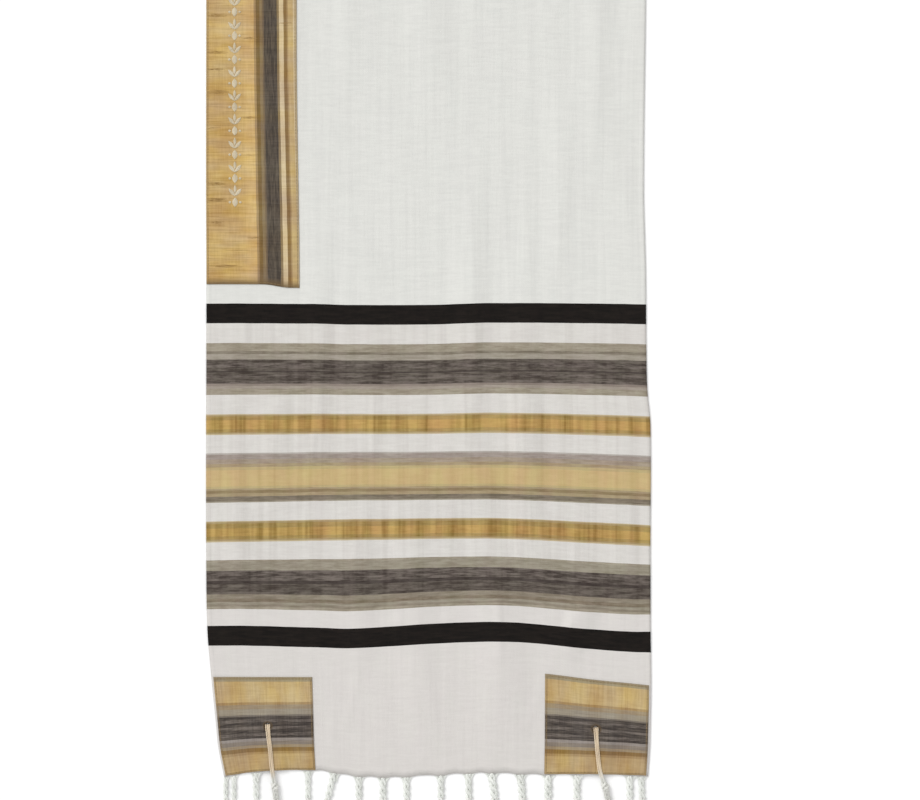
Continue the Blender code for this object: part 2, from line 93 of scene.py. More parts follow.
# %% How the edges and the weft lines have crept
EDGE_FADE = 5
Edge = namedtuple("Edge", "along left right")
EDGES = [Edge(*row) for row in (
    (-900, 17.1, 0.2), (-870, 11.0, 2.0), (-845, 8.4, 2.6), (-800, 3.8, 3.3),
    (-750, -0.3, 2.8), (-660, -1.4, 2.6), (-540, -1.5, 2.6), (-500, -1.3, -0.9),
    (-380, -1.2, -2.2), (-300, -1.5, -4.2), (-100, -1.3, -2.0), (150, -1.0, 0.2),
    (400, -1.4, 1.2), (680, -1.1, 1.4), (800, 0.4, -0.8), (900, 3.2, -7.5),
)]
Weft = namedtuple("Weft", "across first_stripe gold_stripe last_stripe patch_top hem")
WEFTS = [Weft(*row) for row in (
    (-225, 0.0, -1.5, 0.0, -0.5, -4.0),
    (-179, 0.0, -0.7, 0.0, -0.5, 1.2),
    (-112, -0.5, 0.5, -2.0, -0.5, 2.0),
    (-79, -1.4, 1.1, -3.0, -0.5, -3.0),
    (-44, -1.5, 1.4, -1.2, 0.0, -4.5),
    (2, -1.3, 2.1, 2.0, 1.2, -2.8),
    (53, 0.3, 2.4, 4.0, 3.0, 0.0),
    (85, 0.5, 1.9, 3.8, 3.6, -0.8),
    (119, 0.5, 0.5, 1.0, 2.8, -2.0),
    (164, 0.0, -2.1, -3.4, -2.8, -1.8),
    (203, -0.5, -4.0, -6.0, -6.8, -2.6),
    (225, -1.0, -5.3, -6.2, -9.2, -3.4),
)]
WEFT_PLACES = (("first_stripe", 0.430), ("gold_stripe", 0.652), ("last_stripe", 0.756),
               ("patch_top", 0.804), ("hem", 0.900))
print(len(EDGES), "places on the edges,", len(WEFTS), "on the weft lines")

# %% The folds and the finer creases
# In mm on the flat weave: where each ridge starts and ends, half its width, and its height. The gold stripes
# are woven tighter and pucker, so each has a row of short lengthwise puckers, listed by its distance from
# mid-length.
Fold = namedtuple("Fold", "start_across start_along end_across end_along half_width height")
FOLDS = [Fold(*row) for row in (
    (-110, -300, -118, -590, 22, 2.4), (42, -250, 48, -640, 26, 3.2), (94, -330, 104, -730, 24, 3.6),
    (138, -180, 134, -440, 20, 2.4), (-18, -560, -8, -892, 28, 3.2), (66, -640, 78, -896, 34, 3.8),
    (178, -690, 134, -792, 18, 2.8), (-98, -316, -40, -398, 15, 2.0), (-74, -590, -66, -800, 24, 2.6),
    (192, -520, 196, -770, 22, 2.6), (-196, -540, -190, -770, 22, 2.4), (-150, -430, -156, -650, 18, 2.0),
    (10, -260, -6, 120, 30, 3.4), (-82, -210, -88, 150, 20, 2.0), (86, -120, 100, 250, 26, 3.2),
    (176, -280, 170, 60, 22, 2.6), (146, 20, 188, 200, 20, 2.4), (-30, 90, -42, 420, 26, 3.0),
    (54, 180, 44, 520, 28, 3.4), (130, 260, 142, 600, 24, 3.0), (-96, 430, -106, 700, 24, 2.6),
    (-4, 450, 8, 790, 30, 3.6), (84, 540, 74, 884, 28, 3.4), (192, 480, 188, 765, 22, 2.6),
    (-188, 480, -194, 765, 22, 2.4), (-60, 640, -52, 890, 24, 3.0),
)]
CREASES = [Fold(*row) for row in (
    (42, -292, 50, -418, 8, 0.5), (98, -300, 104, -404, 7, 0.5), (136, -296, 133, -398, 6, 0.4),
    (-102, -336, -46, -380, 7, 0.6), (-110, -496, -121, -606, 4.5, 1.2), (-30, -420, -27, -500, 6, 0.6),
    (18, -440, 22, -560, 7, 0.6), (70, -452, 76, -600, 8, 0.7), (150, -430, 146, -560, 6, 0.6),
    (-176, -560, -170, -690, 7, 0.6), (-60, -600, -64, -720, 8, 0.7), (40, -640, 58, -742, 9, 0.9),
    (168, -704, 128, -776, 7, 1.2), (152, -640, 148, -700, 5, 0.6), (-4, -770, 8, -868, 10, 0.9),
    (52, -786, 92, -850, 9, 0.7), (-72, -790, -86, -862, 8, 0.7), (118, -806, 96, -868, 7, 0.4),
    (-101, -838, -99, -876, 7, 0.9), (204, -600, 210, -700, 6, 0.6), (88, -492, 91, -632, 5, 1.3),
    (-54, -500, -56, -588, 5, 1.3), (12, -424, 16, -580, 5, 1), (-70, -624, -76, -712, 5, 1.2),
    (91, -640, 94, -716, 5, 1.2), (-31, -712, -28, -780, 5, 1), (71, -716, 75, -790, 5, 1.2),
    (147, -700, 142, -776, 5, 1.2), (-188, -420, -184, -470, 5, 0.9), (-164, -418, -158, -476, 5, 1),
    (48, -416, 52, -520, 5, 1), (30, -120, 58, -206, 8, 0.5), (150, -60, 122, -150, 9, 0.6),
    (-60, 20, -26, 96, 8, 0.5), (118, 70, 160, 140, 9, 0.6), (24, 230, 10, 330, 8, 0.5),
    (-104, 300, -60, 372, 8, 0.6), (96, 330, 104, 420, 7, 0.5), (180, 300, 170, 400, 8, 0.5),
    (-150, 450, -146, 560, 7, 0.6), (30, 560, 36, 680, 8, 0.7), (150, 600, 130, 700, 7, 0.9),
    (-92, 424, -88, 560, 5, 1), (56, 430, 52, 540, 5, 1.2), (-16, 420, -12, 520, 5, 1),
    (118, 500, 124, 620, 5, 1.2), (-186, 480, -190, 580, 5, 0.9), (-52, 590, -48, 700, 5, 1.2),
    (84, 640, 88, 770, 5, 1.2), (196, 440, 190, 520, 6, 0.7), (-120, 660, -126, 760, 6, 0.9),
    (8, 690, 4, 780, 5, 1), (-30, 800, -10, 866, 9, 0.5), (60, 770, 84, 850, 9, 0.9),
)]
# A pucker's strength sets both its ridge and the painted shade beside it.
Pucker = namedtuple("Pucker", "across strength")
PUCKERS = {
    541.5: [Pucker(*row) for row in (
        (-213, 0.4), (-192.6, 0.7), (-161.9, 0.25), (-151.7, 0.55), (-126.2, 0.5), (-106, 0.6),
        (-92.5, 0.55), (-47.5, 0.8), (-43.5, 0.6), (0.5, 0.25), (24, 0.4), (31.2, 0.5), (40.4, 0.3),
        (96.5, 0.7), (100.5, 0.6), (108.8, 0.35), (153.8, 0.45), (161.9, 0.3), (186.4, 0.35), (213, 0.3),
    )],
    648.7: [Pucker(*row) for row in (
        (-214, 0.6), (-210, 0.5), (-195.6, 0.6), (-178.3, 0.4), (-148.6, 0.4), (-123.1, 0.75),
        (-113.9, 0.45), (-105.7, 0.25), (-63.5, 0.7), (-59, 0.5), (-31.2, 0.45), (0.5, 0.3), (9.7, 0.5),
        (17.9, 0.4), (28.1, 0.45), (36.3, 0.3), (87.3, 0.5), (98.6, 0.7), (106.8, 0.6), (145.6, 0.25),
        (161.9, 0.6), (189.5, 0.45), (207.9, 0.25),
    )],
}
print(len(FOLDS), "folds,", len(CREASES), "creases,", sum(len(row) for row in PUCKERS.values()), "puckers")

# %% [markdown]
# A smooth curve through the rows of a table gives the creep of the edges and of the weft lines. A fold is a
# ridge whose height swells and dies away along its run and falls off to both sides, both by a cosine, so it
# has no sharp start. The same few lines serve the broad folds and the fine creases. Under each corner the
# cloth arches over the strings that run from the eyelet to the tassel.

# %% Where a place on the flat weave lies
def curve_through(places, values, place):
    """The value at each place on a smooth curve through the values at rising places, flat past its ends."""
    places = np.array(places, float)
    values = np.array(values, float).reshape(len(places), -1) * np.ones(place.size)
    place = np.clip(place, places[0], places[-1])
    number = np.arange(len(places))
    before, after = np.maximum(number - 1, 0), np.minimum(number + 1, len(places) - 1)
    slopes = (values[after] - values[before]) / (places[after] - places[before])[:, None]
    low = np.clip(np.searchsorted(places, place, side="right") - 1, 0, len(places) - 2)
    span = places[low + 1] - places[low]
    t = (place - places[low]) / span
    point = np.arange(place.size)
    return (
        values[low, point] * (1 + 2 * t) * (1 - t) ** 2
        + values[low + 1, point] * t * t * (3 - 2 * t)
        + span * slopes[low, point] * t * (1 - t) ** 2
        - span * slopes[low + 1, point] * t * t * (1 - t)
    )


def read_table(rows, key, column, place):
    """A column of a table in mm at each place in metres."""
    places = [getattr(row, key) * MM for row in rows]
    return curve_through(places, [getattr(row, column) * MM for row in rows], place)


def ridge_height(ridges, across, along):
    """The height of all ridges of a table at each place."""
    height = np.zeros(across.size)
    for ridge in ridges:
        run_x = (ridge.end_across - ridge.start_across) * MM
        run_y = (ridge.end_along - ridge.start_along) * MM
        reach_x, reach_y = across - ridge.start_across * MM, along - ridge.start_along * MM
        share = (reach_x * run_x + reach_y * run_y) / (run_x ** 2 + run_y ** 2)
        aside = np.hypot(reach_x - run_x * share, reach_y - run_y * share) / (ridge.half_width * MM)
        swell = np.sin(np.pi * np.clip(share, 0, 1)) * np.cos(np.pi / 2 * np.clip(aside, 0, 1)) ** 2
        height += ridge.height * MM * swell
    return height


PUCKER_REACH = 0.026
PUCKER_HALF_WIDTH = 0.0034


def pucker_strength(across, along, half_width):
    """How strongly the cloth is puckered at each place, from 0 to 1, turned about for the far end."""
    side = np.where(along < 0, across, -across)
    total = np.zeros(across.size)
    for stripe, row in PUCKERS.items():
        reach = np.cos(np.pi / 2 * np.clip((abs(along) - stripe * MM) / PUCKER_REACH, -1, 1)) ** 2
        for pucker in row:
            aside = np.clip((side - pucker.across * MM) / half_width, -1, 1)
            total += pucker.strength * reach * np.cos(np.pi / 2 * aside) ** 2
    return np.minimum(total, 1.0)


def smooth_step(low, high, value):
    """Rises from 0 to 1 between two values, with no corner at either."""
    t = np.clip((value - low) / (high - low), 0, 1)
    return t * t * (3 - 2 * t)


def arch_height(across, along):
    """The lift of the cloth over the strings under each corner, from the eyelet to the hem."""
    aside = np.minimum(abs(across - EYELET_LEFT), abs(across - EYELET_RIGHT)) - ARCH_HALF_WIDTH
    short = HALF_LENGTH - EYELET_FROM_HEM - ARCH_START - abs(along)
    return ARCH_RISE * (1 - smooth_step(0, ARCH_SLOPE, np.maximum(aside, short)))


# %% [markdown]
# Laid wool is never quite flat between its folds. Low ripples run lengthwise, most of all where the
# coloured wefts draw the weave in, so a sum of a few slow waves of fixed phase is added, which is cheap and
# the same each time. A pucker is a short ridge, and the wool's material paints a dark line of shade beside
# it. The waves die away at the hems and over the strings, because other pieces meet the cloth there.

# %% The ripples, and the cloth as one function
RIPPLE_HEIGHT = 0.00055
RIPPLES = ((61, 3.1, 0.4), (97, -4.3, 2.1), (149, 5.2, 4.0), (233, -3.6, 1.2))
RIPPLE_BEND = 2.3
RIPPLE_REST = 0.045
RIPPLE_END = 0.010
PUCKER_RISE = 0.001
PUCKER_RIDGE = 0.0046


def ripple_height(across, along):
    """Low lengthwise waves, each with a rate across, a rate along and a phase, and always above the floor."""
    total = sum(np.sin(rate * across + drift * along + phase + np.sin(drift * RIPPLE_BEND * along))
                for rate, drift, phase in RIPPLES)
    hem = 1 - smooth_step(HALF_LENGTH - RIPPLE_REST, HALF_LENGTH - RIPPLE_END, abs(along))
    calm = hem * (1 - arch_height(across, along) / ARCH_RISE)
    fine = ridge_height(CREASES, across, along)
    fine += PUCKER_RISE * pucker_strength(across + PUCKER_RIDGE / 2, along, PUCKER_RIDGE)
    return calm * (RIPPLE_HEIGHT * (0.5 + total / (2 * len(RIPPLES))) + fine)


def weft_creep(across, along):
    """How far each weft line has crept towards mid-length. The far end creeps the other way round."""
    side = np.where(along < 0, across, -across)
    places = [0.0] + [place for _, place in WEFT_PLACES]
    values = [np.zeros(across.size)]
    values += [read_table(WEFTS, "across", column, side) for column, _ in WEFT_PLACES]
    return curve_through(places, values, abs(along))


def lay(across, along, above=0.0):
    """Points at a height above the underside of the laid cloth, one row for each place."""
    across, along = np.atleast_1d(np.asarray(across, float)), np.atleast_1d(np.asarray(along, float))
    left = read_table(EDGES, "along", "left", along)
    right = read_table(EDGES, "along", "right", along)
    share = (across + HALF_WIDTH) / (2 * HALF_WIDTH)
    x = across + left * (1 - share) ** EDGE_FADE + right * share ** EDGE_FADE
    y = along - np.where(along < 0, -1.0, 1.0) * weft_creep(across, along)
    z = ridge_height(FOLDS, across, along) + arch_height(across, along) + ripple_height(across, along)
    return np.stack([x, y, z + above], axis=1)


print("hem corner lies at", lay(-HALF_WIDTH, -HALF_LENGTH).round(4).tolist())

# %% [markdown]
# ## Sheets that are cut flat and then laid
# A tailor cuts cloth flat and lays it down afterwards, and the same order is the simplest here. The grid
# operator gives an even sheet, the eyelets are cut while it is still flat, and each point's flat place is
# kept as a UV map, so that weave and stripes follow the threads. Only then does every point go to its laid
# place. An alternative is to project a pattern from above, but that would stretch it on every fold.

# %% Cut a sheet
EYELET_SIDES = 24
EYELET_CLEARING = 0.8


def flat_grid(low, high, cell):
    """A flat grid of faces between two corners, in places on the weave."""
    size = [high[i] - low[i] for i in (0, 1)]
    counts = [round(size[i] / cell[i]) for i in (0, 1)]
    mesh = bmesh.new()
    bmesh.ops.create_grid(mesh, x_segments=counts[0], y_segments=counts[1], size=0.5)
    bmesh.ops.scale(mesh, verts=mesh.verts, vec=(*size, 1))
    bmesh.ops.translate(mesh, verts=mesh.verts, vec=((low[0] + high[0]) / 2, (low[1] + high[1]) / 2, 0))
    return mesh


def cut_eyelet(mesh, across, along, cell):
    """Clears the faces about an eyelet and bridges the gap to a circle."""
    reach = [EYELET_RADIUS + EYELET_CLEARING * size for size in cell]

    def near(middle, slack):
        return abs(middle.x - across) < reach[0] + slack and abs(middle.y - along) < reach[1] + slack

    gone = [face for face in mesh.faces if near(face.calc_center_median(), 0)]
    bmesh.ops.delete(mesh, geom=gone, context="FACES")
    border = [edge for edge in mesh.edges
              if edge.is_boundary and near((edge.verts[0].co + edge.verts[1].co) / 2, max(cell))]
    bmesh.ops.create_circle(mesh, segments=EYELET_SIDES, radius=EYELET_RADIUS,
                            matrix=Matrix.Translation((across, along, 0)))
    bmesh.ops.bridge_loops(mesh, edges=border + [edge for edge in mesh.edges if edge.is_wire])


# %% Lay a sheet
def link(name, data):
    """An object at the origin for some data."""
    piece = bpy.data.objects.new(name, data)
    bpy.context.scene.collection.objects.link(piece)
    return piece


def flat_places(data):
    """The places of a mesh's points, a row for each."""
    places = np.zeros(3 * len(data.vertices))
    data.vertices.foreach_get("co", places)
    return places.reshape(-1, 3)


def lay_sheet(name, mesh, above, attribute, shade_mask, move):
    """Keeps the flat places as UV map and a mask for painted shade as attribute, then moves and lays them."""
    bmesh.ops.recalc_face_normals(mesh, faces=mesh.faces)
    if sum(face.normal.z for face in mesh.faces) < 0:
        bmesh.ops.reverse_faces(mesh, faces=mesh.faces)
    data = bpy.data.meshes.new(name)
    mesh.to_mesh(data)
    mesh.free()
    flat = flat_places(data)
    corners = np.zeros(len(data.loops), int)
    data.loops.foreach_get("vertex_index", corners)
    data.uv_layers.new(name="weave").data.foreach_set("uv", flat[corners, :2].ravel())
    across, along = flat[:, 0], flat[:, 1]
    shade_values = shade_mask(across, along).astype(np.float32)
    data.attributes.new(attribute, "FLOAT", "POINT").data.foreach_set("value", shade_values)
    data.vertices.foreach_set("co", lay(*move(across, along), above(across, along)).ravel())
    data.update()
    data.shade_smooth()
    return link(name, data)


def thicken(piece, wall):
    """Gives a laid sheet its thickness, below the face that shows."""
    solid = piece.modifiers.new("thickness", "SOLIDIFY")
    solid.thickness = wall
    solid.offset = -1


# %% [markdown]
# ## Threads
# Strings, stitches and fringe are all thread. A curve with a round bevel is the quickest way to draw one,
# and a curve may hold hundreds of them. Real string is twisted from plies, which catch the light in
# slanting bands, so each ply gets a path of its own that winds round the string's path. The curve is made a
# mesh at once, so that each piece is plain geometry.

# %% Draw threads
def resample(points, step):
    """Evenly spaced points on a smooth curve through a few points."""
    points = np.array(points, float)
    reach = np.append(0, np.cumsum(np.linalg.norm(np.diff(points, axis=0), axis=1)))
    place = np.linspace(0, reach[-1], max(3, round(reach[-1] / step) + 1))
    return np.stack([curve_through(reach, points[:, axis], place) for axis in range(3)], axis=1)


def twist(path, plies, offset, pitch, side=(1, 0, 0), flatten=1.0, phase=0.0):
    """The paths of the plies that wind round a path, the first one starting on its given side."""
    run = np.gradient(path, axis=0)
    run /= np.linalg.norm(run, axis=1)[:, None]
    side = np.array(side, float) - (run * side).sum(axis=1)[:, None] * run
    side /= np.linalg.norm(side, axis=1)[:, None]
    up = np.cross(side, run)
    reach = np.append(0, np.cumsum(np.linalg.norm(np.diff(path, axis=0), axis=1)))
    offset = np.broadcast_to(offset, len(path))
    plies_out = []
    for ply in range(plies):
        angle = 2 * np.pi * (reach / pitch + ply / plies) + phase
        reach_side, reach_up = offset * np.cos(angle), offset * flatten * np.sin(angle)
        plies_out.append(path + reach_side[:, None] * side + reach_up[:, None] * up)
    return plies_out


def thread_piece(name, strands, sides=4):
    """One mesh of many round threads. A strand is its points and its radius, or a radius for each point."""
    line = bpy.data.curves.new(name, "CURVE")
    line.dimensions = "3D"
    line.bevel_depth = 1.0
    line.bevel_resolution = (sides - 4) // 2
    line.use_fill_caps = True
    for points, radius in strands:
        spline = line.splines.new("POLY")
        spline.points.add(len(points) - 1)
        spline.points.foreach_set("co", np.column_stack([points, np.ones(len(points))]).ravel())
        spline.points.foreach_set("radius", np.array(np.broadcast_to(radius, len(points)), float))
    drawn = link(name + "_curve", line)
    data = bpy.data.meshes.new_from_object(drawn.evaluated_get(bpy.context.evaluated_depsgraph_get()))
    bpy.data.objects.remove(drawn)
    bpy.data.curves.remove(line)
    data.name = name
    data.shade_smooth()
    return link(name, data)


def finish_piece(piece, material, slot, *nodes):
    """Gives a piece its material, lets it ride on the one body and stand for its solids. The slot is not
    used.
    """
    piece.data.materials.clear()
    piece.data.materials.append(material)
    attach(piece, "root")
    if nodes:
        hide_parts(*nodes)
    print(piece.name, len(piece.data.polygons), "faces")
    return piece


# %% [markdown]
# ## Materials from threads
# A woven pattern is a chart of yarns, so the colours are kept as a weaver would keep them: a palette of
# yarns, and charts that say which yarn runs for how many millimetres. Each yarn has a partner shade that
# shows through in streaks, either along the picks of the weft, which gives a heathered look, or across
# them, which gives the silk its slubs. A colour ramp with constant steps reads a chart exactly, and two
# more ramps read the partner shade and the strength of the streaks. A painted image would do the same job,
# but it would blur up close.

# %% Node helpers
def node(tree, kind, inputs=(), **settings):
    """Adds a shader node, with its settings and with its inputs set to values or wired to sockets."""
    made = tree.nodes.new("ShaderNode" + kind)
    for name, value in settings.items():
        setattr(made, name, value)
    for key, value in dict(inputs).items():
        if isinstance(value, bpy.types.NodeSocket):
            tree.links.new(value, made.inputs[key])
        else:
            made.inputs[key].default_value = value
    return made


def maths(tree, operation, first, second=0.0, third=0.0, clamp=False):
    """One step of arithmetic on values or sockets."""
    made = node(tree, "Math", {0: first, 1: second, 2: third}, operation=operation, use_clamp=clamp)
    return made.outputs[0]


def times(tree, first, second):
    """The product of two values or sockets."""
    return maths(tree, "MULTIPLY", first, second)


def weighted(tree, heights, shares):
    """The sum of named heights, each with its share."""
    total = 0.0
    for name, share in shares.items():
        total = maths(tree, "MULTIPLY_ADD", heights[name], share, total)
    return total


def mix_colour(tree, factor, first, second):
    """A colour between two, at 0 the first and at 1 the second."""
    made = node(tree, "Mix", {0: factor, 6: first, 7: second}, data_type="RGBA")
    return made.outputs[2]


def spread(tree, value, low, high, out_low=0.0, out_high=1.0):
    """Stretches a value from one range to another and clamps it there."""
    made = node(tree, "MapRange", {0: value, 1: low, 2: high, 3: out_low, 4: out_high})
    return made.outputs[0]


def noise(tree, x, y, rates, detail=3.0, roughness=0.5):
    """Smooth noise over two places, each stretched by its rate."""
    place = node(tree, "CombineXYZ", {0: times(tree, x, rates[0]), 1: times(tree, y, rates[1])}).outputs[0]
    made = node(tree, "TexNoise", {"Vector": place, "Scale": 1.0, "Detail": detail, "Roughness": roughness},
                noise_dimensions="2D")
    return made.outputs[0]


def linear(colour):
    """A colour in display values from 0 to 255, as the light that a shader works in."""
    return tuple(((value / 255 + 0.055) / 1.055) ** 2.4 for value in colour)


def new_material(name, roughness, sheen, gloss):
    """A material whose even values sit on the shader itself."""
    material = bpy.data.materials.new(name)
    material.use_nodes = True
    shader = material.node_tree.nodes["Principled BSDF"]
    shader.inputs["Roughness"].default_value = roughness
    shader.inputs["Specular IOR Level"].default_value = gloss
    shader.inputs["Sheen Weight"].default_value = sheen
    shader.inputs["Sheen Roughness"].default_value = 0.5
    return material, material.node_tree, shader


def weave_places(tree):
    """The places across and along the flat weave, from a piece's own UV map."""
    uv = node(tree, "UVMap", uv_map="weave").outputs[0]
    split = node(tree, "SeparateXYZ", {0: uv})
    return split.outputs[0], split.outputs[1]


# %% The palette of yarns
# A yarn's partner tone shows in streaks; in the wool the ticks across the stripes are partly painted shade of
# crinkles.
Yarn = namedtuple("Yarn", "colour partner dashes ticks")
YARNS = {
    "white": Yarn((221, 221, 216), (206, 206, 202), 0.35, 0.3),
    # The next two are the white wool, darkened by painted shade.
    "shaded_white": Yarn((215, 212, 207), (198, 194, 189), 0.35, 0.5),
    "shaded_plain_white": Yarn((214, 210, 206), (203, 199, 195), 0.35, 0.2),
    "black": Yarn((17, 14, 12), (35, 29, 25), 0.6, 0.15),
    "khaki": Yarn((163, 155, 139), (136, 127, 110), 0.8, 0.25),
    "khaki_dark": Yarn((140, 132, 118), (108, 99, 84), 0.8, 0.15),
    "khaki_light": Yarn((163, 155, 143), (137, 129, 115), 0.7, 0.2),
    "stone": Yarn((156, 149, 134), (132, 124, 108), 0.8, 0.2),
    "stone_dark": Yarn((147, 138, 123), (121, 112, 96), 0.8, 0.2),
    "stone_deep": Yarn((137, 126, 109), (108, 97, 80), 0.8, 0.2),
    "charcoal": Yarn((117, 108, 101), (66, 58, 53), 0.9, 0.3),
    "charcoal_mid": Yarn((109, 101, 93), (65, 57, 51), 0.85, 0.25),
    "charcoal_dark": Yarn((84, 76, 71), (52, 44, 40), 0.8, 0.25),
    "warm_grey": Yarn((145, 134, 125), (125, 114, 105), 0.7, 0.2),
    "pale_grey": Yarn((163, 153, 142), (140, 130, 119), 0.7, 0.2),
    "mauve_pale": Yarn((178, 172, 165), (158, 150, 142), 0.6, 0.2),
    "mauve_grey": Yarn((164, 153, 145), (142, 131, 122), 0.8, 0.35),
    "mauve_warm": Yarn((167, 153, 136), (144, 130, 113), 0.8, 0.3),
    "wheat": Yarn((169, 153, 123), (148, 131, 101), 0.7, 0.3),
    "ash": Yarn((134, 124, 108), (104, 95, 80), 0.8, 0.2),
    "umber": Yarn((147, 130, 99), (125, 108, 79), 0.7, 0.2),
    "tan": Yarn((198, 175, 127), (180, 156, 108), 0.3, 0.6),
    "tan_dull": Yarn((187, 170, 126), (168, 150, 106), 0.4, 0.5),
    "gold": Yarn((194, 160, 98), (141, 110, 56), 0.25, 0.95),
    "gold_olive": Yarn((175, 149, 96), (128, 104, 54), 0.3, 0.9),
    "gold_edge": Yarn((172, 152, 112), (136, 113, 70), 0.3, 0.6),
    "straw": Yarn((192, 177, 145), (170, 151, 114), 0.3, 0.4),
    "silk": Yarn((200, 169, 112), (160, 127, 70), 0.25, 0.6),
    "silk_light": Yarn((204, 173, 116), (165, 132, 75), 0.25, 0.6),
    "silk_bright": Yarn((209, 177, 120), (170, 137, 80), 0.25, 0.6),
    "silk_mid": Yarn((166, 139, 97), (137, 109, 66), 0.3, 0.5),
    "silk_pale": Yarn((193, 168, 120), (166, 139, 92), 0.35, 0.5),
    "silk_cream": Yarn((205, 186, 150), (182, 160, 120), 0.3, 0.4),
    "silk_tan": Yarn((184, 158, 113), (157, 130, 86), 0.35, 0.5),
    "silk_brown": Yarn((138, 110, 66), (112, 85, 45), 0.3, 0.5),
    "silk_olive": Yarn((126, 101, 56), (98, 76, 36), 0.4, 0.4),
    "silk_line": Yarn((158, 145, 116), (134, 119, 88), 0.4, 0.4),
    "silk_charcoal": Yarn((92, 81, 67), (54, 45, 35), 0.85, 0.3),
    "silk_slate": Yarn((118, 108, 100), (66, 58, 52), 0.95, 0.3),
    "silk_dark": Yarn((88, 79, 71), (42, 34, 29), 0.95, 0.25),
    "silk_edge": Yarn((121, 112, 101), (92, 83, 73), 0.6, 0.25),
    "taupe": Yarn((138, 118, 84), (113, 94, 64), 0.5, 0.3),
    "taupe_dark": Yarn((117, 99, 75), (88, 73, 53), 0.5, 0.3),
    "cream": Yarn((206, 186, 150), (181, 158, 119), 0.4, 0.4),
    "greige": Yarn((153, 143, 126), (130, 120, 103), 0.5, 0.3),
    "greige_warm": Yarn((155, 138, 112), (131, 114, 89), 0.5, 0.3),
    "dove": Yarn((148, 139, 132), (124, 115, 108), 0.6, 0.3),
    "dun": Yarn((136, 125, 113), (114, 103, 91), 0.6, 0.3),
}
print(len(YARNS), "yarns")

# %% The charts
Run = namedtuple("Run", "yarn width")
FIRST_STRIPE = 419.3


def gold_stripe(*widths):
    """A gold stripe that fades through olive and straw to both sides, from the widths of its runs."""
    yarns = ("straw", "gold_edge", "gold_olive", "gold", "gold_olive", "gold_edge", "straw")
    return zip(yarns, widths)


# The plain runs between and past the stripes are the same white wool with painted shade, darker than at
# mid-length.
CLOTH_CHART = [Run(*row) for row in (
    ("white", FIRST_STRIPE), ("black", 20.1), ("shaded_white", 20.1), ("khaki", 8.4), ("khaki_dark", 3.0),
    ("khaki_light", 5.4), ("charcoal_mid", 4.0), ("charcoal", 4.6), ("charcoal_mid", 3.2),
    ("charcoal_dark", 1.4), ("charcoal_mid", 2.8), ("charcoal", 2.6), ("charcoal_mid", 3.2),
    ("charcoal", 2.9), ("warm_grey", 2.4), ("pale_grey", 2.8), ("khaki", 6.1), ("shaded_white", 19.7),
    *gold_stripe(1.0, 1.3, 3.6, 9.3, 3.0, 1.5, 1.2), ("shaded_white", 18.5), ("mauve_pale", 1.6),
    ("mauve_grey", 4.9), ("mauve_warm", 4.5), ("wheat", 3.4), ("tan_dull", 3.0), ("tan", 16.6),
    ("tan_dull", 2.2), ("wheat", 1.9), ("umber", 2.9), ("wheat", 3.2), ("ash", 4.9), ("khaki", 1.2),
    ("shaded_white", 19.0), *gold_stripe(0.9, 1.7, 4.6, 8.2, 3.2, 1.6, 1.2), ("shaded_white", 18.5), ("khaki", 2.2),
    ("stone", 8.9), ("charcoal", 10.3), ("charcoal_dark", 3.2), ("charcoal_mid", 10.9), ("stone_dark", 4.6),
    ("stone_deep", 3.4), ("stone", 2.7), ("stone_dark", 2.2), ("khaki", 2.5), ("shaded_plain_white", 17.2),
    ("black", 20.3), ("shaded_plain_white", 200.0),
)]
BAND_CHART = [Run(*row) for row in (
    ("silk", 33.0), ("silk_light", 7.0), ("silk_bright", 10.8), ("silk_mid", 2.2), ("silk_olive", 3.8),
    ("taupe", 3.0), ("taupe_dark", 1.6), ("silk_charcoal", 13.5), ("taupe", 2.3), ("cream", 4.6),
    ("silk_brown", 3.4), ("silk_mid", 1.4), ("silk_pale", 5.2), ("silk_cream", 30.0),
)]
PATCH_CHART = [Run(*row) for row in (
    ("silk_line", 4.6), ("silk_pale", 21.5), ("silk_mid", 2.6), ("greige_warm", 4.4), ("greige", 6.0),
    ("silk_edge", 1.6), ("silk_dark", 3.4), ("silk_slate", 2.8), ("silk_dark", 4.2), ("silk_slate", 3.2),
    ("silk_dark", 3.9), ("silk_slate", 2.6), ("silk_dark", 2.8), ("dove", 3.0), ("dun", 4.0),
    ("greige_warm", 3.0), ("silk_brown", 4.0), ("silk_mid", 2.6), ("silk_tan", 50.0),
)]
print("striped length", round(sum(run.width for run in CLOTH_CHART[1:-1]), 1), "mm")

# %% [markdown]
# A colour ramp is stored as a table of 256 values, so one ramp over the whole length would round each
# stripe to some 3 mm. A chart is therefore read by several short ramps end to end, each one taking over
# where it starts, and the long plain runs at both ends are cut down to a margin. The edge of a stripe is
# not a ruled line: the place is shifted by a fraction of a millimetre from one stretch to the next, as a
# beaten weft does.

# %% Read a chart
# The two rates of a noise count its waves per metre along the stripes, and per metre or per pick across
# them. A range says between which values something counts, and for some also what it gives at the two.
STOPS = 8
RAMP_MARGIN = 0.006
WEFT_WANDER = 0.0006
WANDER_RATES = (38.0, 1.0)
WANDER_ROW = 3.1
PICK_GROUP = 2.6
SHORT_DASHES = (64.0, 7.37)
LONG_DASHES = (34.0, 5.13)
DASH_ROUGHNESS = 0.6
DASH_RANGE = (0.78, 1.22)
TICK_FINE = 2.6
TICK_RANGE = (0.38, 0.62, 0.0, 0.85)
FINE_TICK_RANGE = (0.36, 0.7, 0.45, 1.0)
NOISE_BODY = (0.3, 0.7)


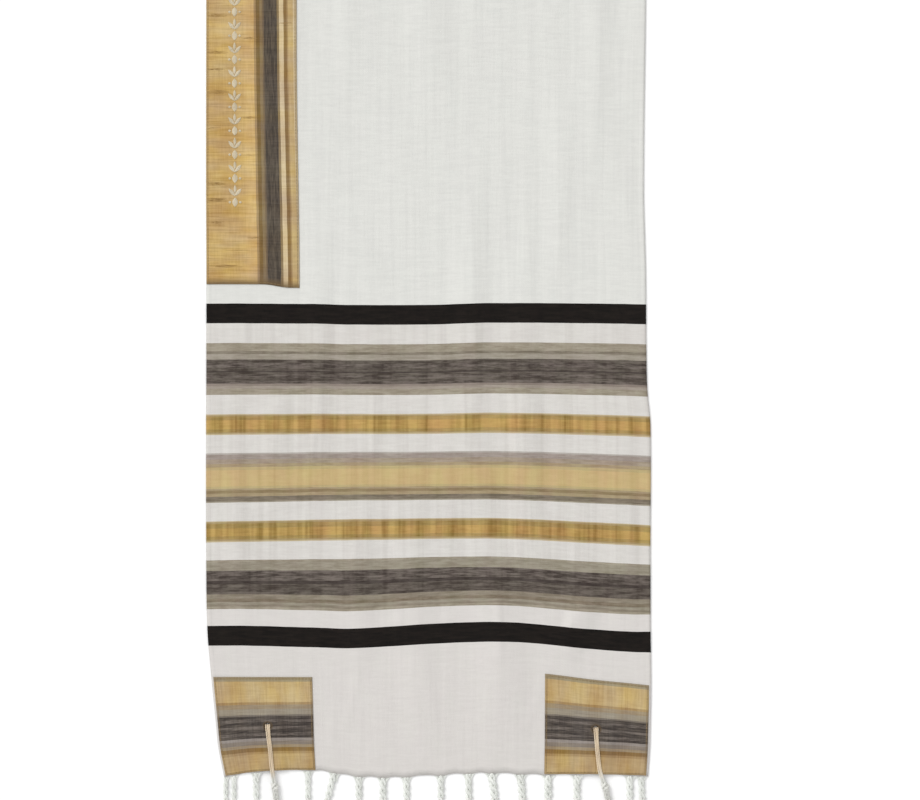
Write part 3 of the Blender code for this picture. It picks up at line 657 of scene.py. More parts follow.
def chart_ramp(tree, place, chart, read):
    """A colour for each place, read from a chart by a function of its yarns."""
    starts = np.append(0, np.cumsum([run.width for run in chart])) * MM
    out = None
    for first in range(0, len(chart), STOPS):
        rows = chart[first:first + STOPS]
        last = first + len(rows)
        low = max(starts[first], starts[first + 1] - RAMP_MARGIN)
        high = min(starts[last], starts[last - 1] + RAMP_MARGIN)
        ramp = node(tree, "ValToRGB", {0: spread(tree, place, low, high)})
        ramp.color_ramp.interpolation = "CONSTANT"
        stops = ramp.color_ramp.elements
        stops.remove(stops[1])
        for number, run in enumerate(rows):
            stop = stops.new((starts[first + number] - low) / (high - low)) if number else stops[0]
            stop.color = (*read(YARNS[run.yarn]), 1.0)
        taken = ramp.outputs[0]
        past = maths(tree, "GREATER_THAN", place, starts[first])
        out = taken if out is None else mix_colour(tree, past, out, taken)
    return out


def woven_colour(tree, place, run, chart, pitch, tick_rates, shade_values=0.0):
    """A striped weave's colour. Place counts across the stripes, run along them; the last adds painted shade.
    """
    wander = maths(tree, "SUBTRACT", noise(tree, run, WANDER_ROW, WANDER_RATES, 2.0), 0.5)
    place_out = maths(tree, "MULTIPLY_ADD", wander, WEFT_WANDER, place)
    pick = maths(tree, "FLOOR", maths(tree, "DIVIDE", place_out, pitch))
    group = maths(tree, "FLOOR", maths(tree, "DIVIDE", place_out, PICK_GROUP * pitch))
    short = noise(tree, run, pick, SHORT_DASHES, roughness=DASH_ROUGHNESS)
    long = noise(tree, run, group, LONG_DASHES, roughness=DASH_ROUGHNESS)
    dashes = spread(tree, maths(tree, "ADD", short, long), *DASH_RANGE)
    # Across the stripes the streaks are the silk's slubs, and in the wool random tone with painted shade of
    # its crinkles and puckers.
    coarse = spread(tree, noise(tree, run, place, tick_rates, 2.0), *TICK_RANGE)
    fine_rates = (TICK_FINE * tick_rates[0], tick_rates[1])
    fine = spread(tree, noise(tree, run, place, fine_rates, 2.0), *FINE_TICK_RANGE)
    ticks = maths(tree, "MAXIMUM", times(tree, coarse, fine), shade_values)
    colour = chart_ramp(tree, place_out, chart, lambda yarn: linear(yarn.colour))
    partner = chart_ramp(tree, place_out, chart, lambda yarn: linear(yarn.partner))
    strength = node(tree, "SeparateColor",
                    {0: chart_ramp(tree, place_out, chart, lambda yarn: (yarn.dashes, yarn.ticks, 0.0))})
    streak = times(tree, dashes, strength.outputs[0])
    streak = maths(tree, "MULTIPLY_ADD", ticks, strength.outputs[1], streak, clamp=True)
    return mix_colour(tree, streak, colour, partner), dashes, ticks


def weave_relief(tree, across, along, pitch):
    """Threads that pass over and under each other, from -1 to 1."""
    over = maths(tree, "SINE", times(tree, across, math.pi / pitch))
    under = maths(tree, "SINE", times(tree, along, math.pi / pitch))
    return times(tree, over, under)


def add_relief(tree, shader, height, distance):
    """Bumps a shader's surface by a height, of which 1 stands for the distance."""
    relief = node(tree, "Bump", {"Height": height, "Distance": distance, "Strength": 1.0})
    tree.links.new(relief.outputs[0], shader.inputs["Normal"])


# %% [markdown]
# ## The woven wool
# The body is a plain weave in matt white wool with coloured wefts. Its stripes lie the same way at both
# ends, so the chart is read by the distance from mid-length. The pucker attribute laid down with the cloth
# paints shade as a dark line beside each pucker. The bump has three sizes: the crossing threads, the finer
# crinkle where warps draw together, and a thicker selvedge down each long side.

# %% The wool's material
WOOL_PITCH = 0.9 * MM
WOOL_TICKS = (98.0, 5.0)
WOOL_CLOUDS = (60.0, 30.0)
WOOL_HUES = (0.491, 0.507)
WOOL_CRINKLE = (190.0, 11.0)
WOOL_RELIEF = {"weave": 0.09, "dashes": 0.05, "crinkle": 0.45, "selvedge": 0.2}
SELVEDGE = 0.005
SELVEDGE_FULL = 0.8


def make_wool():
    """Matt white wool that reads the cloth's chart at both ends."""
    material, tree, shader = new_material("striped_wool", roughness=0.88, sheen=0.1, gloss=0.12)
    across, along = weave_places(tree)
    place = maths(tree, "ABSOLUTE", along)
    # The pucker attribute paints shade: the wool darkens in a line beside each pucker.
    pucker = node(tree, "Attribute", attribute_name="pucker").outputs["Fac"]
    colour, dashes, _ = woven_colour(tree, place, across, CLOTH_CHART, WOOL_PITCH, WOOL_TICKS, pucker)
    hue = spread(tree, noise(tree, across, along, WOOL_CLOUDS), *NOISE_BODY, *WOOL_HUES)
    shade = node(tree, "HueSaturation", {"Hue": hue, "Color": colour})
    tree.links.new(shade.outputs[0], shader.inputs["Base Color"])
    side = maths(tree, "ABSOLUTE", across)
    heights = {
        "weave": weave_relief(tree, across, along, WOOL_PITCH),
        "dashes": dashes,
        "crinkle": noise(tree, across, along, WOOL_CRINKLE),
        "selvedge": spread(tree, side, HALF_WIDTH - SELVEDGE, HALF_WIDTH - SELVEDGE_FULL * SELVEDGE),
    }
    add_relief(tree, shader, weighted(tree, heights, WOOL_RELIEF), MM)
    return material


wool = make_wool()

# %% [markdown]
# The sheet is cut from a grid that is fine enough for the creases. Between the roots of the fringe the hem
# draws back a little, because the twisted warps pull at it only where they are gathered.

# %% The fringe's roots and the scalloped hem
Strand = namedtuple("Strand", "across reach bend half_width")
FRINGE = [Strand(*row) for row in (
    (-223.2, 0, 0, 2.4), (-212.8, 1, -0.4, 2.4), (-186.1, -2, 0.6, 3.2), (-127.2, 2, -0.8, 2.8),
    (-98.8, -12, -4.2, 3.2), (-72.5, 3, -1, 3.2), (-47, -2, 0.8, 3.4), (-22.8, 4, -0.6, 3.1),
    (13.0, -4, 1.4, 3.2), (41.5, 5, -1.2, 3.2), (65.4, 6, 1.8, 3.7), (94.8, 5, 1, 3.6),
    (123.1, -4, 1.2, 3.7), (152.4, -3, 1, 3.4), (206.3, -2, 0.8, 3.3), (218.2, 2, 0.6, 3.0),
)]
SCALLOP = 0.0016
SCALLOP_REACH = 0.014
SCALLOP_START = 0.872


def hem_scallop(across, along):
    """How far the hem draws back towards mid-length between the roots of the fringe."""
    apart = np.min([abs(across - strand.across * MM) for strand in FRINGE], axis=0)
    near_hem = smooth_step(SCALLOP_START, HALF_LENGTH, abs(along))
    pull = SCALLOP * smooth_step(0, SCALLOP_REACH, apart) * near_hem
    return -np.where(along < 0, -1.0, 1.0) * pull


# %% The cloth
CLOTH_CELL = (0.0026, 0.0067)
CLOTH_THICKNESS = 0.0011
EYELETS = {
    end_name + "_" + side_name: (side, end * (HALF_LENGTH - EYELET_FROM_HEM))
    for end_name, end in (("near", -1), ("far", 1))
    for side_name, side in (("left", EYELET_LEFT), ("right", EYELET_RIGHT))
}
flat_cloth = flat_grid((-HALF_WIDTH, -HALF_LENGTH), (HALF_WIDTH, HALF_LENGTH), CLOTH_CELL)
for eyelet_across, eyelet_along in EYELETS.values():
    cut_eyelet(flat_cloth, eyelet_across, eyelet_along, CLOTH_CELL)
# The pucker attribute is the mask for the painted shade beside each pucker.
cloth = lay_sheet("wool_cloth", flat_cloth, lambda across, along: CLOTH_WALL,
                  "pucker", lambda across, along: pucker_strength(across, along, PUCKER_HALF_WIDTH),
                  lambda across, along: (across, along + hem_scallop(across, along)))
thicken(cloth, CLOTH_THICKNESS)
finish_piece(cloth, wool, "white_wool", "main_cloth")

# %% [markdown]
# ## Raw silk: the neckband and the corner squares
# Raw silk is woven from uneven thread. It has a soft gloss, thick slubs that run across its stripes, and
# patches of warmer and cooler gold. Its material reads a chart as the wool's does, but its streaks are
# finer, they change the height as well as the shade, and a broad noise moves the hue of the gold. The same
# fabric is cut lengthwise for the neckband and crosswise for the squares, so only the direction in which
# the chart is read differs between them.

# %% The silk's material
SILK_PITCH = 0.55 * MM
SILK_TICKS = (420.0, 24.0)
SILK_PATCHES = (34.0, 30.0)
SILK_TONES = (62.0, 22.0)
SILK_HUES = (0.493, 0.5055)
SILK_VALUES = (0.9, 1.08)
SILK_RICHNESS = (0.93, 1.11)
SILK_ROUGHNESS = (0.42, 0.62)
SILK_RELIEF = {"weave": 0.04, "ticks": 0.22, "patches": 0.5}
# Painted shade of the turned-under edges: its colour, how far it reaches, and how dark it is along the rim
# and at the band's ends.
TURN_SHADOW_COLOUR = (104, 82, 50)
TURN_SHADE = 0.0030
TURN_FULL = 0.3
RIM_SHADOW_STRENGTH = 0.32
HEM_SHADE = 0.006
HEM_SHADOW_STRENGTH = 0.75
BAND_HEM = BAND_LENGTH / 2 - 1.3 * HEM_SHADE
BAND_SKEW = (0.1, 0.4, 0.0016, -0.001)


def make_silk(name, chart, read_places, hem_from):
    """Raw silk that reads a chart. Shade is painted where its edge is turned under, most of all past
    hem_from.
    """
    material, tree, shader = new_material(name, roughness=0.5, sheen=0.2, gloss=0.3)
    across, along = weave_places(tree)
    place, run = read_places(tree, across, along)
    colour, _, ticks = woven_colour(tree, place, run, chart, SILK_PITCH, SILK_TICKS)
    patches = noise(tree, run, place, SILK_PATCHES)
    hue = spread(tree, patches, *NOISE_BODY, *SILK_HUES)
    value = spread(tree, patches, *NOISE_BODY, *SILK_VALUES)
    rich = spread(tree, noise(tree, run, place, SILK_TONES), *NOISE_BODY, *SILK_RICHNESS)
    shade = node(tree, "HueSaturation", {"Hue": hue, "Saturation": rich, "Value": value, "Color": colour})
    # Painted shade: the colour darkens towards the turned-under rim and past hem_from, as the shadow of the
    # turned edge.
    rim = node(tree, "Attribute", attribute_name="rim").outputs["Fac"]
    rim_shade = spread(tree, rim, TURN_FULL * TURN_SHADE, TURN_SHADE, RIM_SHADOW_STRENGTH, 0.0)
    hem_shade = spread(tree, maths(tree, "ABSOLUTE", along), hem_from, hem_from + HEM_SHADE, 0.0, HEM_SHADOW_STRENGTH)
    turned = maths(tree, "MAXIMUM", rim_shade, hem_shade)
    shaded = mix_colour(tree, turned, shade.outputs[0], (*linear(TURN_SHADOW_COLOUR), 1))
    tree.links.new(shaded, shader.inputs["Base Color"])
    tree.links.new(spread(tree, ticks, 0.0, 1.0, *SILK_ROUGHNESS), shader.inputs["Roughness"])
    heights = {"weave": weave_relief(tree, across, along, SILK_PITCH), "ticks": ticks, "patches": patches}
    add_relief(tree, shader, weighted(tree, heights, SILK_RELIEF), MM)
    return material


def read_band(tree, across, along):
    """The band's stripes are counted from its outer edge, and were cut a little askew towards its ends."""
    skew = spread(tree, maths(tree, "ABSOLUTE", along), *BAND_SKEW)
    return maths(tree, "ADD", maths(tree, "ADD", across, HALF_WIDTH), skew), along


def read_patch(tree, across, along):
    """A square's stripes are counted from its inner edge towards the hem and run across the shawl."""
    inner = HALF_LENGTH - PATCH_HEM_INSET - PATCH_LENGTH
    return maths(tree, "SUBTRACT", maths(tree, "ABSOLUTE", along), inner), across


band_silk = make_silk("neckband_silk", BAND_CHART, read_band, BAND_HEM)
patch_silk = make_silk("corner_silk", PATCH_CHART, read_patch, HALF_LENGTH)

# %% [markdown]
# A sewn-on piece of silk has its edges turned under, so it is thicker along its rim and rounds down to the
# wool. The rim is inset twice, which puts the points where that small round needs them, and the height of
# each point then comes from its distance to the nearest edge.

# %% The height of sewn-on silk
SILK_CELL = 0.0025
SILK_INSETS = (0.0010, 0.0005)
SILK_THICKNESS = 0.0002
SILK_GAP = 0.00015
SILK_BASE = CLOTH_WALL + SILK_GAP + SILK_THICKNESS
SILK_ROUND = 0.0013
SILK_PUFF = 0.0007
TURNING = 0.007
TURNING_END = 1.3 * TURNING
TURNING_RISE = 0.00025
SILK_TOP = SILK_BASE + SILK_PUFF + TURNING_RISE
BAND_WAIST = 0.0029
BAND_WAIST_FROM = 0.15
BAND_ASKEW = 0.0017
BAND_ASKEW_REACH = 0.06
BAND_ASKEW_SIDES = (0.6, 0.9)
Cut = namedtuple("Cut", "low high eyelet")


def patch_cut(name):
    """The flat corners of a corner square and its eyelet."""
    across, along = EYELETS[name]
    outer, hem = HALF_WIDTH - PATCH_SIDE_INSET, HALF_LENGTH - PATCH_HEM_INSET
    sides = sorted(math.copysign(reach, across) for reach in (outer, outer - PATCH_WIDTH))
    ends = sorted(math.copysign(reach, along) for reach in (hem, hem - PATCH_LENGTH))
    return Cut((sides[0], ends[0]), (sides[1], ends[1]), (across, along))


BAND_CUT = Cut((-HALF_WIDTH, -BAND_LENGTH / 2), (BAND_WIDTH - HALF_WIDTH, BAND_LENGTH / 2), None)
PATCH_CUTS = {name: patch_cut(name) for name in EYELETS}


def inside_cut(cut, across, along):
    """How far each place lies inside the edges of a sewn-on piece."""
    sides = (across - cut.low[0], cut.high[0] - across, along - cut.low[1], cut.high[1] - along)
    inside = np.min(sides, axis=0)
    if cut.eyelet:
        hole = np.hypot(across - cut.eyelet[0], along - cut.eyelet[1]) - EYELET_RADIUS
        inside = np.minimum(inside, hole)
    return np.maximum(inside, 0)


def silk_height(cut, across, along):
    """The upper face of a sewn-on piece, above the underside of the cloth."""
    inside = inside_cut(cut, across, along)
    puff = SILK_PUFF * np.sqrt(1 - (1 - np.clip(inside / SILK_ROUND, 0, 1)) ** 2)
    turned = TURNING_RISE * (1 - smooth_step(TURNING, TURNING_END, inside)) * puff / SILK_PUFF
    return SILK_BASE + puff + turned


def sewn_place(cut, across, along):
    """Where a place was sewn down. The neckband was pulled in at mid-length, and its ends turned askew."""
    if cut.eyelet:
        return across, along
    share = (across - cut.low[0]) / BAND_WIDTH
    waist = BAND_WAIST * share * (1 - smooth_step(BAND_WAIST_FROM, BAND_LENGTH / 2, abs(along)))
    askew = BAND_ASKEW * (2 * smooth_step(*BAND_ASKEW_SIDES, share) - 1)
    askew = askew * smooth_step(BAND_LENGTH / 2 - BAND_ASKEW_REACH, BAND_LENGTH / 2, abs(along))
    return across - waist, along + np.sign(along) * askew


def sew_on(name, cut, material, node_name):
    """A piece of silk cut flat, laid on the cloth and given its thickness."""
    cell = (SILK_CELL, SILK_CELL)
    mesh = flat_grid(cut.low, cut.high, cell)
    if cut.eyelet:
        cut_eyelet(mesh, *cut.eyelet, cell)
    for thickness in SILK_INSETS:
        bmesh.ops.inset_region(mesh, faces=mesh.faces[:], thickness=thickness, use_boundary=True)
    piece = lay_sheet(name, mesh, lambda across, along: silk_height(cut, across, along),
                      "rim", lambda across, along: inside_cut(cut, across, along),
                      lambda across, along: sewn_place(cut, across, along))
    thicken(piece, SILK_THICKNESS)
    return finish_piece(piece, material, "gold_raw_silk", node_name)


# %% The neckband and the four squares
band = sew_on("silk_neckband", BAND_CUT, band_silk, "neckband")
squares = {name: sew_on("silk_square_" + name, cut, patch_silk, "corner_patch_" + name)
           for name, cut in PATCH_CUTS.items()}

# %% [markdown]
# ## Sewing
# The silk is held by a line of short machine stitches just inside its edges, and each eyelet is bound with
# buttonhole stitches. A stitch is a short thread that comes out of the cloth, arches over it and goes back
# in, so one function draws every stitch from its two ends, wherever it lies on the flat weave.

# %% The sewing thread
STITCH_RADIUS = 0.00022
STITCH_ARCH = ((0.0, -0.3), (0.12, 0.5), (0.5, 1.0), (0.88, 0.5), (1.0, -0.3))


def stitch_paths(ends, cut, rise):
    """The laid paths of stitches between pairs of flat places on a sewn-on piece."""
    ends = np.array(ends, float)
    share = np.array([share for share, _ in STITCH_ARCH])[:, None]
    flat = ends[:, None, 0] * (1 - share) + ends[:, None, 1] * share
    lift = np.tile([height * rise for _, height in STITCH_ARCH], len(ends))
    across, along = flat.reshape(-1, 2).T
    laid = lay(*sewn_place(cut, across, along), silk_height(cut, across, along) + lift)
    return laid.reshape(len(ends), len(STITCH_ARCH), 3)


def edge_stitches(cut, inset=0.0019, length=0.0026, gap=0.0008):
    """Machine stitches round a piece of silk, as pairs of flat places."""
    x0, y0, x1, y1 = cut.low[0] + inset, cut.low[1] + inset, cut.high[0] - inset, cut.high[1] - inset
    corners = [np.array(corner) for corner in ((x0, y0), (x1, y0), (x1, y1), (x0, y1), (x0, y0))]
    ends = []
    for start, end in zip(corners, corners[1:]):
        run = (end - start) / np.linalg.norm(end - start)
        count = int(np.linalg.norm(end - start) // (length + gap))
        step = np.linalg.norm(end - start) / count
        ends += [(start + run * step * i, start + run * (step * (i + 1) - gap)) for i in range(count)]
    return ends


def eyelet_stitches(cut, count=26, width=0.0019, lip=0.0002):
    """Buttonhole stitches that stand round an eyelet and reach over its lip."""
    middle = np.array(cut.eyelet)
    turns = [2 * math.pi * i / count for i in range(count)]
    rays = [np.array((math.cos(turn), math.sin(turn))) for turn in turns]
    return [(middle + ray * (EYELET_RADIUS - lip), middle + ray * (EYELET_RADIUS + width)) for ray in rays]


SHADE_RATE = 90.0
SHADE_RANGE = (0.35, 0.65, 0.0, 0.55)
FIBRE_RATE = 2600.0
FIBRE_ROUGHNESS = 0.7
FIBRE_RANGE = (0.3, 0.7, 0.0, 0.45)
FIBRE_HEIGHT = 0.12 * MM
CLEAN_BLEND = 0.006


def make_thread(name, colour, shade, roughness, sheen, gloss, clean=None):
    """Spun thread, with fibres in its bump and slow changes of shade. Past the hem it may be cleaner."""
    material, tree, shader = new_material(name, roughness, sheen, gloss)
    place = node(tree, "TexCoord").outputs["Object"]
    slow = node(tree, "TexNoise", {"Vector": place, "Scale": SHADE_RATE, "Detail": 2.0}).outputs[0]
    fibres = node(tree, "TexNoise", {"Vector": place, "Scale": FIBRE_RATE, "Detail": 3.0,
                                     "Roughness": FIBRE_ROUGHNESS}).outputs[0]
    factor = maths(tree, "ADD", spread(tree, slow, *SHADE_RANGE), spread(tree, fibres, *FIBRE_RANGE))
    spun_colour = mix_colour(tree, factor, (*linear(colour), 1), (*linear(shade), 1))
    if clean:
        past_hem = maths(tree, "ABSOLUTE", node(tree, "SeparateXYZ", {0: place}).outputs[1])
        past_hem = spread(tree, past_hem, HALF_LENGTH - CLEAN_BLEND, HALF_LENGTH + CLEAN_BLEND)
        clean_colour = mix_colour(tree, factor, *((*linear(tone), 1) for tone in clean))
        spun_colour = mix_colour(tree, past_hem, spun_colour, clean_colour)
    tree.links.new(spun_colour, shader.inputs["Base Color"])
    add_relief(tree, shader, fibres, FIBRE_HEIGHT)
    return material


gold_thread = make_thread("gold_sewing_thread", (152, 128, 86), (126, 104, 66),
                          roughness=0.55, sheen=0.1, gloss=0.35)
brown_thread = make_thread("brown_sewing_thread", (112, 92, 66), (84, 66, 46),
                           roughness=0.6, sheen=0.1, gloss=0.3)

# %% Stitches on the silk
def sew(name, cut, ends, material, slot="gold_raw_silk", radius=STITCH_RADIUS, rise=1.1 * STITCH_RADIUS):
    """One piece of all the stitches between pairs of flat places."""
    paths = stitch_paths(ends, cut, rise)
    return finish_piece(thread_piece(name, [(path, radius) for path in paths]), material, slot)


band_stitches = sew("neckband_stitches", BAND_CUT, edge_stitches(BAND_CUT), gold_thread)
square_stitches = {name: sew("square_stitches_" + name, cut, edge_stitches(cut), gold_thread)
                   for name, cut in PATCH_CUTS.items()}
eyelet_bindings = {name: sew("eyelet_binding_" + name, cut, eyelet_stitches(cut), brown_thread)
                   for name, cut in PATCH_CUTS.items()}

# %% [markdown]
# The thickest slubs of the raw silk are stretches where the thread was spun loosely, darker and proud of
# the weave. The bump gives the small ones. The large ones are laid one by one as bundles of fine threads
# side by side, half sunk in the silk, each a little longer or shorter than the next, so that a bundle frays
# out at its ends.

# %% Large slubs on the neckband
Slub = namedtuple("Slub", "along start end thickness threads")
SLUBS = [Slub(*row) for row in (
    (-125.1, -224, -207, 1.2, 4), (-132.8, -146, -136, 0.9, 2), (-148.3, -188, -174, 1.0, 2),
    (-162.9, -223, -206, 1.1, 4), (-180.3, -224, -208, 0.9, 3), (-203.3, -222, -203, 1.3, 5),
    (-229.4, -187, -174, 1.0, 3), (-240.1, -224, -212, 1.0, 1), (-268.0, -188, -176, 0.7, 1),
    (-297.3, -224, -206, 1.2, 5), (-313.6, -224, -205, 1.2, 5), (-336.6, -222, -210, 1.0, 3),
    (-352.5, -181, -172, 1.0, 2), (-366.0, -202, -184, 0.7, 1), (-382.6, -219, -191, 1.2, 4),
    (-84, -218, -203, 1.1, 3), (-52, -190, -177, 1.0, 2), (-20, -223, -206, 1.2, 4),
    (14, -188, -174, 0.9, 2), (47, -222, -204, 1.1, 5), (122, -223, -207, 1.2, 4),
    (158, -186, -173, 0.9, 2), (196, -222, -204, 1.1, 5), (233, -176, -165, 1.0, 2),
    (262, -224, -206, 1.2, 3), (304, -188, -176, 0.9, 2), (341, -223, -205, 1.2, 5),
    (377, -212, -188, 1.1, 3),
)]
SLUB_SHARES = np.linspace(0, 1, 13)
SLUB_SPACING = 0.5
SLUB_STRAY = 3.8
SLUB_STRAY_TURNS = (2.3, 3.7)
SLUB_RADIUS = 0.26
SLUB_WAVE = 0.16
SLUB_SWELL = 0.25
SLUB_TAPER = 0.04
SLUB_SINK = 0.5
SLUB_FROM_EDGE = 0.8 * MM
dark_silk = make_thread("slub_silk", (164, 130, 72), (130, 99, 50), roughness=0.5, sheen=0.15, gloss=0.3)


def slub_strands(slub):
    """The fine threads of one slub, side by side, each swelling and thinning along its run."""
    strands = []
    for number in range(slub.threads + 1):
        stray = [SLUB_STRAY * math.sin(turn * number + slub.along) for turn in SLUB_STRAY_TURNS]
        across = (slub.start + stray[0] + (slub.end - slub.start + stray[1] - stray[0]) * SLUB_SHARES) * MM
        across = np.clip(across, SLUB_FROM_EDGE - HALF_WIDTH, None)
        row = (number - 0.5 * slub.threads) * SLUB_SPACING * slub.thickness
        along = (slub.along + row + SLUB_WAVE * np.sin(3 * np.pi * SLUB_SHARES + number)) * MM
        swell = 1 + SLUB_SWELL * np.sin(5 * np.pi * SLUB_SHARES + 1.9 * number)
        taper = np.sin(np.pi * (SLUB_TAPER + (1 - 2 * SLUB_TAPER) * SLUB_SHARES)) ** 0.5
        radius = SLUB_RADIUS * slub.thickness * MM * swell * taper
        height = silk_height(BAND_CUT, across, along) - SLUB_SINK * radius
        strands.append((lay(*sewn_place(BAND_CUT, across, along), height), radius))
    return strands


slub_threads = [strand for slub in SLUBS for strand in slub_strands(slub)]
band_slubs = finish_piece(thread_piece("neckband_slubs", slub_threads, 6), dark_silk, "gold_raw_silk")

# %% [markdown]
# ## Embroidery on the neckband
# A pale silvery chain of leaves and lozenges runs down the outer half of the neckband. It is satin stitch:
# threads side by side across each small shape. A shape is therefore an axis with a width that swells along
# it, and the loop lays one stitch after another over it. Alternating two plain motifs keeps the chain
# lively.

# %% The chain of leaves and lozenges
EMBROIDERY_ACROSS = -0.1955
EMBROIDERY_REACH = 0.316
MOTIF_PITCH = 0.0122
SATIN_PITCH = 0.00042
SATIN_RADIUS = 0.00026
SATIN_RISE = 0.00045
LEAF_SWELL = 0.8
Shape = namedtuple("Shape", "start end width")
LEAVES = (
    Shape((0.0, -5.6), (-6.4, 1.6), 3.4),
    Shape((0.0, -5.6), (6.4, 1.6), 3.4),
    Shape((0.0, -2.6), (0.0, 5.2), 2.8),
)
LOZENGE = (
    Shape((0.0, -4.6), (0.0, 4.6), 5.6),
    Shape((-6.6, 0.0), (-4.0, 0.0), 2.4),
    Shape((4.0, 0.0), (6.6, 0.0), 2.4),
)
silver_thread = make_thread("silver_embroidery_thread", (222, 211, 186), (196, 182, 154),
                            roughness=0.42, sheen=0.1, gloss=0.5)


def satin(shape, middle):
    """The stitches that fill a shape, as pairs of flat places."""
    start, end = (np.array(point) * MM + middle for point in (shape.start, shape.end))
    axis = end - start
    side = np.array((-axis[1], axis[0])) / np.linalg.norm(axis)
    count = round(np.linalg.norm(axis) / SATIN_PITCH)
    shares = [(i + 0.5) / count for i in range(count)]
    half_widths = [0.5 * shape.width * MM * math.sin(math.pi * share) ** LEAF_SWELL for share in shares]
    return [(start + axis * share - side * half, start + axis * share + side * half)
            for share, half in zip(shares, half_widths)]


motif_count = round(2 * EMBROIDERY_REACH / MOTIF_PITCH)
satin_ends = []
for motif in range(motif_count + 1):
    motif_along = -EMBROIDERY_REACH + motif * 2 * EMBROIDERY_REACH / motif_count
    for motif_shape in LEAVES if motif % 2 else LOZENGE:
        satin_ends += satin(motif_shape, np.array((EMBROIDERY_ACROSS, motif_along)))
embroidery = sew("neckband_embroidery", BAND_CUT, satin_ends, silver_thread, "white_string",
                 radius=SATIN_RADIUS, rise=SATIN_RISE)

# %% [markdown]
# ## The tassels
# Each tassel is made of four long strings that are put through the eyelet and folded, so four lie over the
# corner and four under it. Below the hem they are tied and wound: five double knots, with 7, 8, 11 and 13
# turns of one string between them, and then all eight ends hang loose. The turns are one long helix, which
# a loop works out, and the knots are short knotted rings of the same string.

# %% Places of the tassels
Tassel = namedtuple("Tassel", "end across lean bow head_turn strand_turn")
TASSELS = {
    "near_left": Tassel(-1, EYELET_LEFT, 6.5, 0.5, 8.0, 4.0),
    "near_right": Tassel(-1, EYELET_RIGHT, 8.0, 2.6, 15.0, 8.0),
    "far_left": Tassel(1, EYELET_LEFT, 6.0, -1.2, 5.0, -9.0),
    "far_right": Tassel(1, EYELET_RIGHT, 2.0, 1.4, 9.0, -7.0),
}
WINDING_TURNS = (7, 8, 11, 13)
TURN_PITCH = 1.05 * STRING
KNOT_LENGTH = 0.007
KNOT_HALF_WIDTH = 0.0048
KNOT_HALF_HEIGHT = 0.0034
WINDING_HALF_WIDTH = 0.0035
WINDING_HALF_HEIGHT = 0.0026
HEAD_FROM_HEM = 0.0083
HEAD_FLOOR_GAP = 0.0003
HEAD_HEIGHT = HEAD_FLOOR_GAP + KNOT_HALF_HEIGHT
HEAD_LENGTH = (len(WINDING_TURNS) + 1) * KNOT_LENGTH + sum(WINDING_TURNS) * TURN_PITCH
STRAND_COUNT = 8
STRAND_LENGTH = 0.200
STRAND_SPREAD = 0.0042
STRAND_SHORTENING = 0.05
STRAND_POINTS = 28
STRAND_INSET = 0.0015
STRAND_DROP = 0.32
STRAND_LIFT = 0.0001
FAN_POWER = 0.8
SWAY = 0.35 * STRAND_SPREAD
SWAY_RATE = 2.6 * math.pi
SWAY_PHASE = 0.9
TURN_POWER = 1.5
ROOT_STEP = 0.00112
PLY_RADIUS = 0.28 * STRING
PLY_OFFSET = 0.22 * STRING
PLY_PITCH = 0.0052
PLY_STEP = PLY_PITCH / 7
white_string = make_thread("tassel_string", (230, 213, 186), (206, 186, 158),
                           roughness=0.8, sheen=0.15, gloss=0.2, clean=((236, 236, 230), (214, 214, 208)))


def spun(path, side=(1, 0, 0), phase=0.0):
    """A two-ply string along a path, as strands for a thread piece."""
    path = resample(path, PLY_STEP)
    return [(ply, PLY_RADIUS) for ply in twist(path, 2, PLY_OFFSET, PLY_PITCH, side, phase=phase)]


def tassel_line(tassel):
    """The eyelet, the start of the head and the direction between them, all on the floor."""
    eyelet = lay(tassel.across, tassel.end * (HALF_LENGTH - EYELET_FROM_HEM))[0] * (1, 1, 0)
    head = np.array((eyelet[0] + tassel.lean * MM, tassel.end * (HALF_LENGTH + HEAD_FROM_HEM), 0.0))
    return eyelet, head, (head - eyelet) / np.linalg.norm(head - eyelet)


# %% The strings through an eyelet
LOOP_STRINGS = 4
LOOP_STEP = 0.93 * STRING
LOOP_SQUEEZE = 0.2
LOOP_SQUEEZE_REACH = 0.008
LOOP_STAGGER = 0.25 * STRING
LOOP_SETBACK = 0.0014
LOOP_SETBACK_REACH = 0.010
LOOP_STRAY = 0.00022
LOOP_STRAY_RATE = 170
LOOP_STRAY_PHASE = 2.1
LOOP_BOW_POWER = 1.3
LOOP_PHASE = 1.3
UPPER_RUN = ARCH_RISE + SILK_TOP + 0.55 * STRING
LOWER_RUN = FLOOR_GAP + 0.5 * STRING
UPPER_SHARES = (1.0, 0.8, 0.5, 0.2)
LOWER_SHARES = (0.3, 0.7)
HEM_CLEARANCE = 0.003
SLOPE_END = 0.004
SLOPE_DROP = 0.25
INTO_HEAD = 0.4 * KNOT_LENGTH
HEAD_PARTING = 0.7 * STRING
# Each pair is a reach and a rise: on the way into the eyelet, on the way out of it, and just past the hem.
INTO_EYELET = ((0.0030, 0.0), (0.0012, -0.0004), (0.0002, -0.0016))
OUT_OF_EYELET = ((0.0002, 0.0010), (0.0012, 0.0002), (0.0030, 0.0))
PAST_HEM = (0.0005, 0.0001)


